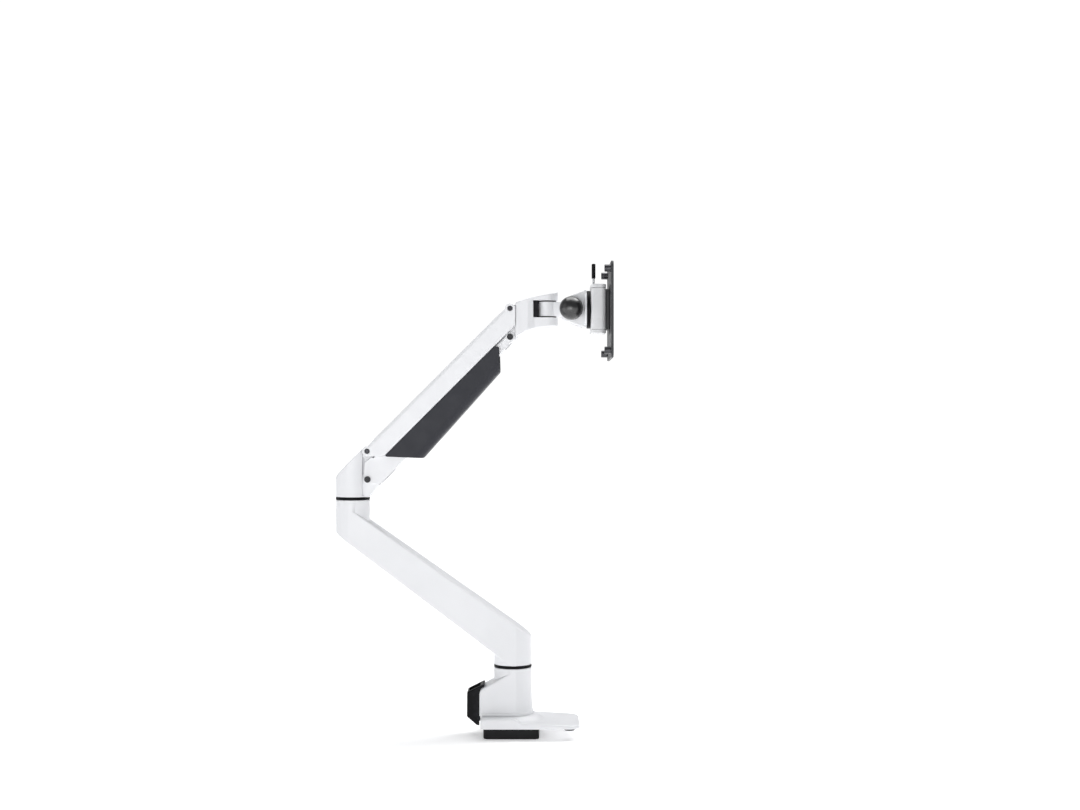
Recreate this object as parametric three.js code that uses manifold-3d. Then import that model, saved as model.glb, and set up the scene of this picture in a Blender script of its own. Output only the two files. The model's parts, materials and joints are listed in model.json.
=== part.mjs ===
// Desk monitor arm: a foot for the rear edge of a desk, a fixed-height lower arm, a gas-sprung
// parallelogram upper arm, and a head that pans, tilts and rotates a quick-release VESA plate.
// Millimetres, +Z up. The origin is on the base swivel axis, at the underside of the mounting
// block. The arm is drawn with the upper arm raised to 45 degrees, and the screen side is +X.

import * as THREE from 'three';
import { mergeVertices } from 'three/addons/utils/BufferGeometryUtils.js';
import Module from 'manifold-3d';

const wasm = await Module();
wasm.setup();

// ---------------------------------------------------------------- driving dimensions

const GAP = 0.3;                    // air between neighbouring pieces
const FINE = 24;                    // segments of a large circle
const COARSE = 12;                  // segments of a small circle

// foot
const PLATE_UNDERSIDE = 14;
const PLATE_BACK = -39.5;
const PLATE_FRONT = 83;
const PLATE_HALF_WIDTH = 43;
const PLATE_TOP = 27;               // the thick rear half, under the housing
const TONGUE_TOP = 21.6;            // the tongue where it leaves the rear half
const TONGUE_TIP = 18.2;
const BLOCK = { back: -36, front: 33, halfWidth: 33, corner: 4 };
const BLOCK_SCREWS = [[-27, 0], [24, 0]];
const CLAMP_HOLES = [-20, 20];      // tapped holes for the desk clamp, on the Y axis
const PAD = { x: 70, y: 34, r: 6.5, underside: 12 };

// base column and lower arm
const BASE_R = 23.5;
const HOUSING_TOP = 84.7;
const HOUSING_BACK = -41;
const LIP = { height: 3.6, reach: 2.5 };
const FLARE = { r: 25, top: 58 };
const SPINDLE_R = 10;
const WASHER_T = 3.1;
const HUB_BOTTOM = HOUSING_TOP + WASHER_T + 2 * GAP;
const ELBOW_X = -200;
const ELBOW_R = 21.25;
const ELBOW_TOP = 293.2;            // top of the lower arm's elbow column
const ARM_TOP_AT_AXIS = 141.5;      // the lower arm's upper edge line, and its fall per mm of X
const ARM_TOP_SLOPE = 0.703;
const ARM_BOTTOM_AT_AXIS = 86.5;
const ARM_BOTTOM_SLOPE = 0.752;
const DUCT = { from: -172, to: -32, halfWidth: 15, depth: 38 };
const CLIP_SPOTS = [-138, -66];
const CLIP_LENGTH = 12;

// upper arm
const BRACKET_BOTTOM = ELBOW_TOP + WASHER_T + 2 * GAP;
const PIVOT_A = { x: -180, z: 354 };
const PIVOT_SPACING = 35;
const LINK = 250;
const LIFT = Math.PI / 4;
const LUG = { half: 13.5, eye: 6 };   // the lugs inside the links
const LINK_WALL = { inner: 14, outer: 16, heel: 15, lowEye: 5.2, highEye: 6 };
const SHELL = { inner: 18.5, outer: 21, above: 5, below: 19, eye: 6.4, roof: 2.5, corner: 5 };
const COVER = { inner: 18.6, outer: 20.6, corner: 12, innerCorner: 8, wall: 2, depth: 57.3, taper: 0.0568 };
const PIN_R = 3;
const SPRING = { baseDrop: 15, topAlong: 200, topDrop: 9, tubeR: 8.5, rodR: 4, pinR: 2.5, eyeBore: 5 };

// head
const HEAD_Z = 530.5;
const PAN_X = 42.7;
const EAR_R = 13.4;
const SLOT = { back: 25.2, bottom: 520.4, top: 541.4 };
const BUSH = { back: 25.5, front: 32.4, half: 13, seatR: 12.4 };
const TILT_X = 72.6;
const CHEEK = { inner: 9.4, outer: 14.5, r: 15.6 };
const FLANGE = { r: 24.5, from: 89, to: 92 };
const KNOB = { r: 14.6, y: -27 };
const TURN_WASHER = { r: 23.5, from: 92.3, to: 96.4 };
const RECEIVER = { from: 96.8, to: 115.6, halfWidth: 23, half: 25.7, cap: 4.7, corner: 6 };
const LATCH_X = 100.8;
const LATCH_GRIP = { from: 39, to: 57, halfWidth: 6, halfDepth: 2.3 };
const BOSS = { from: 116, to: 120, halfWidth: 20, half: 25 };
const VESA = { from: 120.3, to: 123.3, half: 59, drop: 3, corner: 8, holeR: 2.3 };
const VESA_PATTERNS = [75, 100];

// finishes
const WHITE = { color: 0xeff0f3, roughness: 0.38, metalness: 0.0 };
const BLACK = { color: 0x17181a, roughness: 0.5, metalness: 0.0 };
const GLOSS_BLACK = { color: 0x0b0b0c, roughness: 0.12, metalness: 0.0 };
const CHARCOAL = { color: 0x3a3d40, roughness: 0.55, metalness: 0.2 };
const RUBBER = { color: 0x202022, roughness: 0.9, metalness: 0.0 };
const STEEL = { color: 0xb4b6ba, roughness: 0.3, metalness: 1.0 };
const DARK_STEEL = { color: 0x2c2d30, roughness: 0.4, metalness: 0.8 };
const BRONZE = { color: 0xa58a5a, roughness: 0.45, metalness: 0.7 };

// ---------------------------------------------------------------- solids

function solid(geometry) {
  const bare = geometry.clone();
  bare.deleteAttribute('normal');
  bare.deleteAttribute('uv');
  const merged = mergeVertices(bare, 1e-4);
  return new wasm.Manifold(new wasm.Mesh({
    numProp: 3,
    vertProperties: new Float32Array(merged.attributes.position.array),
    triVerts: new Uint32Array(merged.index.array),
  }));
}

function geometryOf(body) {
  const mesh = body.getMesh();
  const geometry = new THREE.BufferGeometry();
  geometry.setAttribute('position', new THREE.BufferAttribute(mesh.vertProperties, 3));
  geometry.setIndex(new THREE.BufferAttribute(mesh.triVerts, 1));
  geometry.computeVertexNormals();
  return geometry;
}

const join = (...bodies) => bodies.reduce((all, body) => all.add(body));
const cut = (body, ...tools) => tools.reduce((left, tool) => left.subtract(tool), body);

// A closed outline through [u, v, radius] corners; a corner with a radius becomes an arc.
function outline(corners) {
  const shape = new THREE.Shape();
  const count = corners.length;
  corners.forEach(([u, v, radius = 0], i) => {
    const corner = new THREE.Vector2(u, v);
    const before = new THREE.Vector2(...corners[(i + count - 1) % count]).sub(corner).normalize();
    const after = new THREE.Vector2(...corners[(i + 1) % count]).sub(corner).normalize();
    const add = i === 0 ? 'moveTo' : 'lineTo';
    if (radius === 0) {
      shape[add](u, v);
      return;
    }
    const half = Math.acos(before.dot(after)) / 2;
    const reach = radius / Math.tan(half);
    const start = corner.clone().addScaledVector(before, reach);
    const end = corner.clone().addScaledVector(after, reach);
    const inward = before.clone().add(after).normalize();
    const middle = corner.clone().addScaledVector(inward, radius / Math.sin(half));
    const angle = (point) => Math.atan2(point.y - middle.y, point.x - middle.x);
    shape[add](start.x, start.y);
    shape.absarc(middle.x, middle.y, radius, angle(start), angle(end), before.cross(after) > 0);
  });
  shape.closePath();
  return shape;
}

function extruded(shape, depth, segments) {
  return new THREE.ExtrudeGeometry(shape, { depth, bevelEnabled: false, curveSegments: segments });
}

// Slabs: an outline drawn in the plane across the named axis, filled from low to high along it.
function slabZ(corners, low, high, segments = 5) {
  return solid(extruded(outline(corners), high - low, segments).translate(0, 0, low));
}

function slabY(corners, low, high, segments = 5) {
  return solid(extruded(outline(corners), high - low, segments).rotateX(Math.PI / 2).translate(0, high, 0));
}

function slabX(corners, low, high, segments = 5) {
  const turn = new THREE.Matrix4().makeBasis(
    new THREE.Vector3(0, 1, 0), new THREE.Vector3(0, 0, 1), new THREE.Vector3(1, 0, 0));
  return solid(extruded(outline(corners), high - low, segments).applyMatrix4(turn).translate(low, 0, 0));
}

const evenY = (corners, half, segments) => slabY(corners, -half, half, segments);
const square = (u0, u1, v0, v1, r = 0) => [[u0, v0, r], [u1, v0, r], [u1, v1, r], [u0, v1, r]];

function box(x0, x1, y0, y1, z0, z1) {
  const geometry = new THREE.BoxGeometry(x1 - x0, y1 - y0, z1 - z0);
  return solid(geometry.translate((x0 + x1) / 2, (y0 + y1) / 2, (z0 + z1) / 2));
}

// A round bar along an axis, from low to high, with at = its two other coordinates in X, Y, Z order.
function bar(axis, r, low, high, at = [0, 0], segments = COARSE, endR = r) {
  const geometry = new THREE.CylinderGeometry(endR, r, high - low, segments);
  geometry.translate(0, (low + high) / 2, 0);
  if (axis === 'x') geometry.rotateZ(-Math.PI / 2).translate(0, at[0], at[1]);
  if (axis === 'y') geometry.translate(at[0], 0, at[1]);
  if (axis === 'z') geometry.rotateX(Math.PI / 2).translate(at[0], at[1], 0);
  return solid(geometry);
}

function ring(axis, inner, outer, low, high, at = [0, 0], segments = FINE) {
  return cut(bar(axis, outer, low, high, at, segments), bar(axis, inner, low - 1, high + 1, at, segments));
}

const SIDES = [-1, 1];              // right-hand side of the arm, then its left-hand side
const between = (side, near, far) => (side > 0 ? [near, far] : [-far, -near]);

const arm = new THREE.Group();

function node(parent, name, body, finish) {
  const mesh = new THREE.Mesh(geometryOf(body), new THREE.MeshStandardMaterial(finish));
  mesh.name = name;
  parent.add(mesh);
}

// Copies of one piece, numbered from 1, one for each place.
function nodes(parent, name, places, make, finish) {
  places.forEach((place, i) => node(parent, `${name}_${i + 1}`, make(place), finish));
}

// ---------------------------------------------------------------- foot and base

function makeFoot() {
  const plan = slabZ([
    [PLATE_BACK, -PLATE_HALF_WIDTH, 4], [PLATE_FRONT, -PLATE_HALF_WIDTH, 14],
    [PLATE_FRONT, PLATE_HALF_WIDTH, 14], [PLATE_BACK, PLATE_HALF_WIDTH, 4],
  ], PLATE_UNDERSIDE, PLATE_TOP + 1);
  const side = evenY([
    [PLATE_BACK, PLATE_UNDERSIDE], [PLATE_FRONT, PLATE_UNDERSIDE], [PLATE_FRONT, TONGUE_TIP],
    [BASE_R, TONGUE_TOP], [2, TONGUE_TOP], [2, PLATE_TOP], [PLATE_BACK, PLATE_TOP],
  ], PLATE_HALF_WIDTH + 1);
  const collar = bar('z', 38, PLATE_UNDERSIDE + 5, PLATE_TOP, [0, 0], FINE, 28);
  const screwHoles = BLOCK_SCREWS.map(([x, y]) => bar('z', 2.8, 0, 23, [x, y]));
  const boltHole = join(bar('z', 8, 0, 22, [0, 0]), bar('z', 5.3, 20, PLATE_TOP + 1, [0, 0]));
  node(arm, 'foot_plate', cut(plan.intersect(join(side, collar)), ...screwHoles, boltHole), WHITE);

  const top = PLATE_UNDERSIDE - GAP;
  const blockSide = evenY([
    [BLOCK.back, 0, BLOCK.corner], [BLOCK.front, 0, BLOCK.corner], [BLOCK.front, top], [BLOCK.back, top],
  ], BLOCK.halfWidth);
  const blockPlan = slabZ(
    square(BLOCK.back, BLOCK.front, -BLOCK.halfWidth, BLOCK.halfWidth, 6), -1, top + 1);
  const counterbores = BLOCK_SCREWS.map(([x, y]) => (
    join(bar('z', 2.8, -1, top + 1, [x, y]), bar('z', 4.7, -1, 5.5, [x, y]))));
  const tapped = CLAMP_HOLES.map((y) => bar('z', 2.5, -1, top + 1, [0, y]));
  node(arm, 'mounting_block', cut(blockSide.intersect(blockPlan), ...counterbores, ...tapped), BLACK);

  nodes(arm, 'block_screw', BLOCK_SCREWS, ([x, y]) => cut(
    join(bar('z', 4.4, 0.8, 5.2, [x, y]), bar('z', 2.5, 5, 22.5, [x, y])),
    bar('z', 2.3, 0, 3.2, [x, y], 6)), DARK_STEEL);
  nodes(arm, 'front_pad', SIDES, (side) => bar('z', PAD.r - 1, PAD.underside, PLATE_UNDERSIDE - GAP,
    [PAD.x, side * PAD.y], COARSE, PAD.r), RUBBER);
}

function makeBase() {
  const bottom = PLATE_TOP + GAP;
  const lipTop = bottom + LIP.height;
  const lipR = BASE_R + LIP.reach;
  const column = join(
    bar('z', FLARE.r, bottom, FLARE.top, [0, 0], FINE, BASE_R),
    bar('z', BASE_R, FLARE.top, HOUSING_TOP, [0, 0], FINE),
    bar('z', lipR, bottom, lipTop, [0, 0], FINE));
  const backPlan = slabZ([
    [HOUSING_BACK, -BASE_R, 3], [0, -BASE_R], [0, BASE_R], [HOUSING_BACK, BASE_R, 3],
  ], bottom, HOUSING_TOP);
  const backSide = evenY([
    [HOUSING_BACK, bottom], [0, bottom], [0, 82], [-38.5, 59.8, 2], [HOUSING_BACK, 56],
  ], BASE_R + 1);
  const backLip = box(HOUSING_BACK + 1, 0, -lipR, lipR, bottom, lipTop);
  const hollow = join(
    bar('z', 15.3, bottom - 1, HOUSING_TOP + 1, [0, 0], FINE),
    bar('z', 19.4, bottom - 1, 33.4, [0, 0], FINE));
  node(arm, 'base_housing', cut(join(column, backPlan.intersect(backSide), backLip), hollow), WHITE);

  const spindle = cut(
    join(
      bar('z', 19, bottom + GAP, 33, [0, 0], FINE),
      bar('z', 15, 32, HOUSING_TOP - GAP, [0, 0], FINE),
      bar('z', SPINDLE_R, HOUSING_TOP - 1, 118, [0, 0], FINE)),
    bar('z', 5.3, 0, 50, [0, 0]));
  node(arm, 'base_spindle', spindle, STEEL);

  const bolt = cut(
    join(bar('z', 7.6, PLATE_UNDERSIDE + GAP, 21.7, [0, 0]), bar('z', 5, 21, 49, [0, 0])),
    bar('z', 4.2, 10, 19, [0, 0], 6));
  node(arm, 'spindle_bolt', bolt, DARK_STEEL);

  node(arm, 'base_washer',
    ring('z', SPINDLE_R + 0.4, BASE_R, HOUSING_TOP + GAP, HOUSING_TOP + GAP + WASHER_T), BLACK);

  const back = HOUSING_BACK - GAP;
  const cover = evenY([
    [back, 14.3], [back, 56.4], [-39.2, 60.2], [-35.3, 62.4], [-35.3, 66.5, 1.5],
    [-56.8, 55.3, 3], [-57, 25, 3], [-44.5, 14.3],
  ], 17);
  const coverPlan = slabZ([[-57.2, -17, 6], [-30, -17], [-30, 17], [-57.2, 17, 6]], 0, 80);
  const duct = box(-54.6, back + 1, -13, 13, 0, 80);
  node(arm, 'rear_cable_cover', cut(cover.intersect(coverPlan), duct), BLACK);
}

// ---------------------------------------------------------------- lower arm

const armTopAt = (x) => ARM_TOP_AT_AXIS - ARM_TOP_SLOPE * x;
const armBottomAt = (x) => ARM_BOTTOM_AT_AXIS - ARM_BOTTOM_SLOPE * x;

function makeLowerArm() {
  const reach = -ELBOW_X;
  const lean = Math.asin((BASE_R - ELBOW_R) / reach);
  const plan = new THREE.Shape();
  plan.absarc(0, 0, BASE_R, -Math.PI / 2 - lean, Math.PI / 2 + lean, false);
  plan.absarc(ELBOW_X, 0, ELBOW_R, Math.PI / 2 + lean, 1.5 * Math.PI - lean, false);
  const planSolid = solid(extruded(plan, 230, FINE / 2).translate(0, 0, 80));
  const left = ELBOW_X - ELBOW_R - 1;
  const side = evenY([
    [left, armBottomAt(left)], [(HUB_BOTTOM - ARM_BOTTOM_AT_AXIS) / -ARM_BOTTOM_SLOPE, HUB_BOTTOM],
    [BASE_R + 1, HUB_BOTTOM], [BASE_R + 1, armTopAt(BASE_R + 1)],
    [(ELBOW_TOP - ARM_TOP_AT_AXIS) / -ARM_TOP_SLOPE, ELBOW_TOP], [left, ELBOW_TOP],
  ], BASE_R + 1);
  const hub = bar('z', BASE_R, HUB_BOTTOM, 112, [0, 0], FINE);
  const elbow = bar('z', ELBOW_R, 262, ELBOW_TOP, [ELBOW_X, 0], FINE);
  const duct = evenY([
    [DUCT.from, armBottomAt(DUCT.from) - 6], [DUCT.to, armBottomAt(DUCT.to) - 6],
    [DUCT.to, armBottomAt(DUCT.to) + DUCT.depth, 3], [DUCT.from, armBottomAt(DUCT.from) + DUCT.depth, 3],
  ], DUCT.halfWidth);
  const beam = cut(
    join(planSolid.intersect(side), hub, elbow), duct,
    bar('z', 13.3, HUB_BOTTOM - 1, 119, [0, 0], FINE),
    bar('z', 12.3, 258, ELBOW_TOP + 1, [ELBOW_X, 0], FINE));
  node(arm, 'lower_arm_beam', beam, WHITE);

  node(arm, 'hub_bush', ring('z', SPINDLE_R + GAP, 13, HUB_BOTTOM + GAP, 118.4), BRONZE);
  node(arm, 'elbow_bush', ring('z', 9.3, 12, 258.4, ELBOW_TOP - GAP, [ELBOW_X, 0]), BRONZE);

  const above = (x, up) => [x, armBottomAt(x) + up];
  nodes(arm, 'cable_clip', CLIP_SPOTS, (x) => {
    const from = x - CLIP_LENGTH / 2;
    const to = x + CLIP_LENGTH / 2;
    return evenY([above(from, 0.6), above(to, 0.6), above(to, 4.2), above(from, 4.2)],
      DUCT.halfWidth - GAP);
  }, BLACK);
}

// ---------------------------------------------------------------- elbow bracket

const pivotB = { x: PIVOT_A.x, z: PIVOT_A.z - PIVOT_SPACING };
const pivotC = { x: PIVOT_A.x + LINK * Math.cos(LIFT), z: PIVOT_A.z + LINK * Math.sin(LIFT) };
const pivotD = { x: pivotC.x, z: pivotC.z - PIVOT_SPACING };

// A pivot pin across the arm: a plain shank with a hex socket, and a wider head where headR is given.
function pivotPin(at, shankR, shankEnd, headR, headEnd, socketR) {
  const place = [at.x, at.z];
  let pin = bar('y', shankR, -shankEnd, shankEnd, place);
  if (headR > shankR) {
    const heads = SIDES.map((side) => bar('y', headR, ...between(side, shankEnd - 0.2, headEnd), place));
    pin = join(pin, ...heads);
  }
  const end = Math.max(shankEnd, headEnd);
  return cut(pin, bar('y', socketR, -end - 1, -end + 0.9, place, 6));
}

const spacer = (side, at) => (
  ring('y', PIN_R + GAP, 5.8, ...between(side, LUG.half + GAP, SHELL.inner - GAP), [at.x, at.z], COARSE));

function makeElbow() {
  node(arm, 'elbow_washer',
    ring('z', 9.4, ELBOW_R, ELBOW_TOP + GAP, ELBOW_TOP + GAP + WASHER_T, [ELBOW_X, 0]), BLACK);

  const left = ELBOW_X - ELBOW_R;
  const right = PIVOT_A.x - SHELL.eye - GAP;
  const body = bar('z', ELBOW_R, BRACKET_BOTTOM, 370, [ELBOW_X, 0], FINE).intersect(evenY([
    [left - 1, BRACKET_BOTTOM - 1], [ELBOW_X + ELBOW_R + 1, BRACKET_BOTTOM - 1],
    [ELBOW_X + ELBOW_R + 1, 299], [right, 299], [right, 356.8], [left - 1, 321],
  ], ELBOW_R + 1));
  const lug = join(
    evenY([
      [-190, BRACKET_BOTTOM], [-178.8, BRACKET_BOTTOM], [-165.3, 312.4], [-174, 322],
      [-174, PIVOT_A.z], [-186, PIVOT_A.z], [-190, 348],
    ], LUG.half),
    bar('y', LUG.eye, -LUG.half, LUG.half, [PIVOT_A.x, PIVOT_A.z]),
    bar('y', LUG.eye, -LUG.half, LUG.half, [pivotB.x, pivotB.z]));
  const grooves = SIDES.map((side) => (
    box(right, right + 2.9, ...between(side, 10.8, ELBOW_R), 325, 347)));
  const springSlot = evenY([[-191, 327, 3], [-160, 327], [-160, 370], [-191, 370]], 9.3);
  const bracket = cut(
    join(body, lug), springSlot, ...grooves,
    bar('y', PIN_R + GAP, -30, 30, [PIVOT_A.x, PIVOT_A.z]),
    bar('y', PIN_R + GAP, -30, 30, [pivotB.x, pivotB.z]),
    bar('y', SPRING.pinR + GAP, -30, 30, [PIVOT_A.x, PIVOT_A.z - SPRING.baseDrop]),
    bar('z', 9.3, BRACKET_BOTTOM - 1, 320, [ELBOW_X, 0], FINE));
  node(arm, 'elbow_bracket', bracket, WHITE);

  node(arm, 'elbow_post', bar('z', 9, 258.4, 319.6, [ELBOW_X, 0], FINE), STEEL);
  node(arm, 'pivot_pin_a', pivotPin(PIVOT_A, PIN_R, SHELL.outer + 0.5, 0, 0, 1.9), DARK_STEEL);
  node(arm, 'pivot_pin_b', pivotPin(pivotB, PIN_R, 16.9, 4, 18.1, 2.3), DARK_STEEL);
  nodes(arm, 'pivot_spacer_a', SIDES, (side) => spacer(side, PIVOT_A), BLACK);
  node(arm, 'spring_base_pin',
    bar('y', SPRING.pinR, GAP - LUG.half, LUG.half - GAP, [PIVOT_A.x, PIVOT_A.z - SPRING.baseDrop]),
    STEEL);
}

// ---------------------------------------------------------------- upper arm, drawn along its own +X

const shellGroup = new THREE.Group();
shellGroup.position.set(PIVOT_A.x, 0, PIVOT_A.z);
shellGroup.rotation.y = -LIFT;
arm.add(shellGroup);

function makeUpperArm() {
  const reach = SHELL.eye * Math.SQRT1_2;
  const slope = SHELL.below - reach;
  const side = join(
    evenY([
      [-reach, -reach], [slope - reach, -SHELL.below], [LINK - slope + reach, -SHELL.below],
      [LINK + reach, -reach], [LINK, SHELL.above], [0, SHELL.above],
    ], SHELL.outer),
    bar('y', SHELL.eye, -SHELL.outer, SHELL.outer, [0, 0]),
    bar('y', SHELL.eye, -SHELL.outer, SHELL.outer, [LINK, 0]));
  const half = SHELL.outer;
  const section = slabX([
    [-half, -30], [half, -30], [half, SHELL.above, SHELL.corner], [-half, SHELL.above, SHELL.corner],
  ], 8, LINK - 8);
  const ends = join(box(-20, 9, -half, half, -30, 20), box(LINK - 9, LINK + 20, -half, half, -30, 20));
  const inside = SHELL.inner;
  const hollow = join(
    box(-20, LINK + 20, -inside, inside, -40, SHELL.roof),
    box(-20, 13, -inside, inside, -40, 20),
    box(LINK - 13, LINK + 20, -inside, inside, -40, 20));
  const topPin = [SPRING.topAlong, -SPRING.topDrop];
  const shell = cut(
    side.intersect(join(section, ends)), hollow,
    bar('y', PIN_R + GAP, -30, 30, [0, 0]),
    bar('y', PIN_R + GAP, -30, 30, [LINK, 0]),
    bar('y', PIN_R + GAP, -20, 20, topPin));
  node(shellGroup, 'upper_arm_shell', shell, WHITE);
  node(shellGroup, 'spring_top_pin', bar('y', PIN_R, -19.7, 19.7, topPin), STEEL);

  const edge = -SHELL.below - GAP;
  const outer = slabX([
    [-COVER.outer, 0, COVER.corner], [COVER.outer, 0, COVER.corner], [COVER.outer, 70], [-COVER.outer, 70],
  ], -20, LINK);
  const inner = slabX([
    [-COVER.inner, COVER.wall, COVER.innerCorner], [COVER.inner, COVER.wall, COVER.innerCorner],
    [COVER.inner, 71], [-COVER.inner, 71],
  ], -21, LINK + 1);
  const tilted = outer.subtract(inner).rotate([0, -THREE.MathUtils.radToDeg(COVER.taper), 0])
    .translate([0, 0, -COVER.depth]);
  const sideView = evenY([
    [10, edge, 1.5], [43.6, -56], [44, -60], [184, -60], [185.6, -46.8], [206.8, -24, 3], [203.5, edge, 1],
  ], COVER.outer + 1);
  node(shellGroup, 'upper_cable_cover', tilted.intersect(sideView), BLACK);
}

function makeGasSpring() {
  const baseX = SPRING.baseDrop * Math.sin(LIFT);
  const dx = SPRING.topAlong + baseX;
  const dz = SPRING.topDrop - SPRING.baseDrop * Math.cos(LIFT);
  const length = Math.hypot(dx, dz);
  const spring = new THREE.Group();
  spring.position.set(SPRING.topAlong, 0, -SPRING.topDrop);
  spring.rotation.y = Math.PI + Math.atan2(dz, dx);
  shellGroup.add(spring);

  const tube = cut(
    join(
      bar('y', 7, -8, 8, [0, 0]),
      box(0, 16, -6, 6, -6, 6),
      bar('x', SPRING.tubeR, 12, 126, [0, 0], 20)),
    bar('y', PIN_R + GAP, -20, 20, [0, 0]),
    bar('x', SPRING.tubeR - 1.5, 22, 120, [0, 0], 20),
    bar('x', SPRING.rodR + GAP, 100, 130, [0, 0]));
  node(spring, 'gas_spring_tube', tube, BLACK);

  const rod = cut(
    join(
      bar('x', SPRING.tubeR - 1.8, 74, 82, [0, 0], 20),
      bar('x', SPRING.rodR, 80, length - 5.5, [0, 0]),
      bar('y', 7.6, -4, 4, [length, 0])),
    bar('y', SPRING.eyeBore, -10, 10, [length, 0]));
  node(spring, 'gas_spring_rod', rod, STEEL);
}

function makeLowerLink() {
  const link = new THREE.Group();
  link.position.set(pivotB.x, 0, pivotB.z);
  link.rotation.y = -LIFT;
  arm.add(link);
  const { heel, lowEye, highEye, inner, outer } = LINK_WALL;
  const reach = lowEye * Math.SQRT1_2;
  const side = join(
    evenY([
      [-reach, -reach], [heel - 2 * reach, -heel], [45, -heel], [75, -13], [190, -7.2],
      [LINK, -highEye], [LINK, 4], [62, 4], [46, 9], [24, 14], [22.6, 16.6], [12.8, 17.3], [-reach, reach],
    ], outer),
    bar('y', lowEye, -outer, outer, [0, 0]),
    bar('y', highEye, -outer, outer, [LINK, 0]));
  const channel = join(
    evenY([[-20, -30], [32, -30], [32, 30], [-20, 30]], inner),
    evenY([[235, -30], [270, -30], [270, 30], [235, 30]], inner),
    evenY([
      [30, 30], [30, -heel + 2.5], [45, -heel + 2.5], [75, -10.5], [190, -4.7], [240, -4], [240, 30],
    ], inner));
  const body = cut(side, channel,
    bar('y', PIN_R + GAP, -30, 30, [0, 0]), bar('y', PIN_R + GAP, -30, 30, [LINK, 0]));
  node(link, 'lower_link', body, WHITE);
}

// ---------------------------------------------------------------- head

function makeHeadBracket() {
  const left = pivotC.x + SHELL.eye + GAP;
  const side = evenY([
    [left, 495], [15, 502], [27, 508.8], [40, 509.3], [56.4, 509.7, 3],
    [56.4, 553.4, 4], [44, 549.2], [21, 545.3, 8], [left, 538.6],
  ], 20);
  const plan = slabZ([
    [left, -17], [19, -17, 6], [27, -EAR_R, 6], [PAN_X + EAR_R, -EAR_R, EAR_R - 0.2],
    [PAN_X + EAR_R, EAR_R, EAR_R - 0.2], [27, EAR_R, 6], [19, 17, 6], [left, 17],
  ], 480, 570);
  const lug = join(
    evenY([[-7.5, 528], [-7.5, 498], [0, 490], [6, 493], [6, 535.4], [-3, 536.7]], LUG.half),
    bar('y', LUG.eye, -LUG.half, LUG.half, [pivotC.x, pivotC.z]),
    bar('y', LUG.eye, -LUG.half, LUG.half, [pivotD.x, pivotD.z]));
  const bracket = cut(
    join(side.intersect(plan), lug),
    box(SLOT.back, 80, -30, 30, SLOT.bottom, SLOT.top),
    bar('z', 4.3, 480, 600, [PAN_X, 0]),
    bar('y', PIN_R + GAP, -30, 30, [pivotC.x, pivotC.z]),
    bar('y', PIN_R + GAP, -30, 30, [pivotD.x, pivotD.z]));
  node(arm, 'head_bracket', bracket, WHITE);
  node(arm, 'pivot_pin_c', pivotPin(pivotC, PIN_R, SHELL.outer + 0.5, 0, 0, 1.9), DARK_STEEL);
  node(arm, 'pivot_pin_d', pivotPin(pivotD, PIN_R, 16.9, 4, 18.1, 2.3), DARK_STEEL);
  nodes(arm, 'pivot_spacer_c', SIDES, (side) => spacer(side, pivotC), BLACK);
  node(arm, 'swivel_pin', bar('z', 4, 510.4, 549.4, [PAN_X, 0]), STEEL);
  const bush = cut(
    box(BUSH.back, BUSH.front, -BUSH.half, BUSH.half, SLOT.bottom + GAP, SLOT.top - GAP),
    bar('z', BUSH.seatR, 500, 560, [PAN_X, 0], FINE));
  node(arm, 'pan_bush', bush, BLACK);
  node(arm, 'swivel_washer_lower',
    ring('z', 4.4, 11.5, SLOT.bottom + GAP, SLOT.bottom + 1.3, [PAN_X, 0]), BLACK);
  node(arm, 'swivel_washer_upper',
    ring('z', 4.4, 11.5, SLOT.top - 1.3, SLOT.top - GAP, [PAN_X, 0]), BLACK);
}

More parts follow.
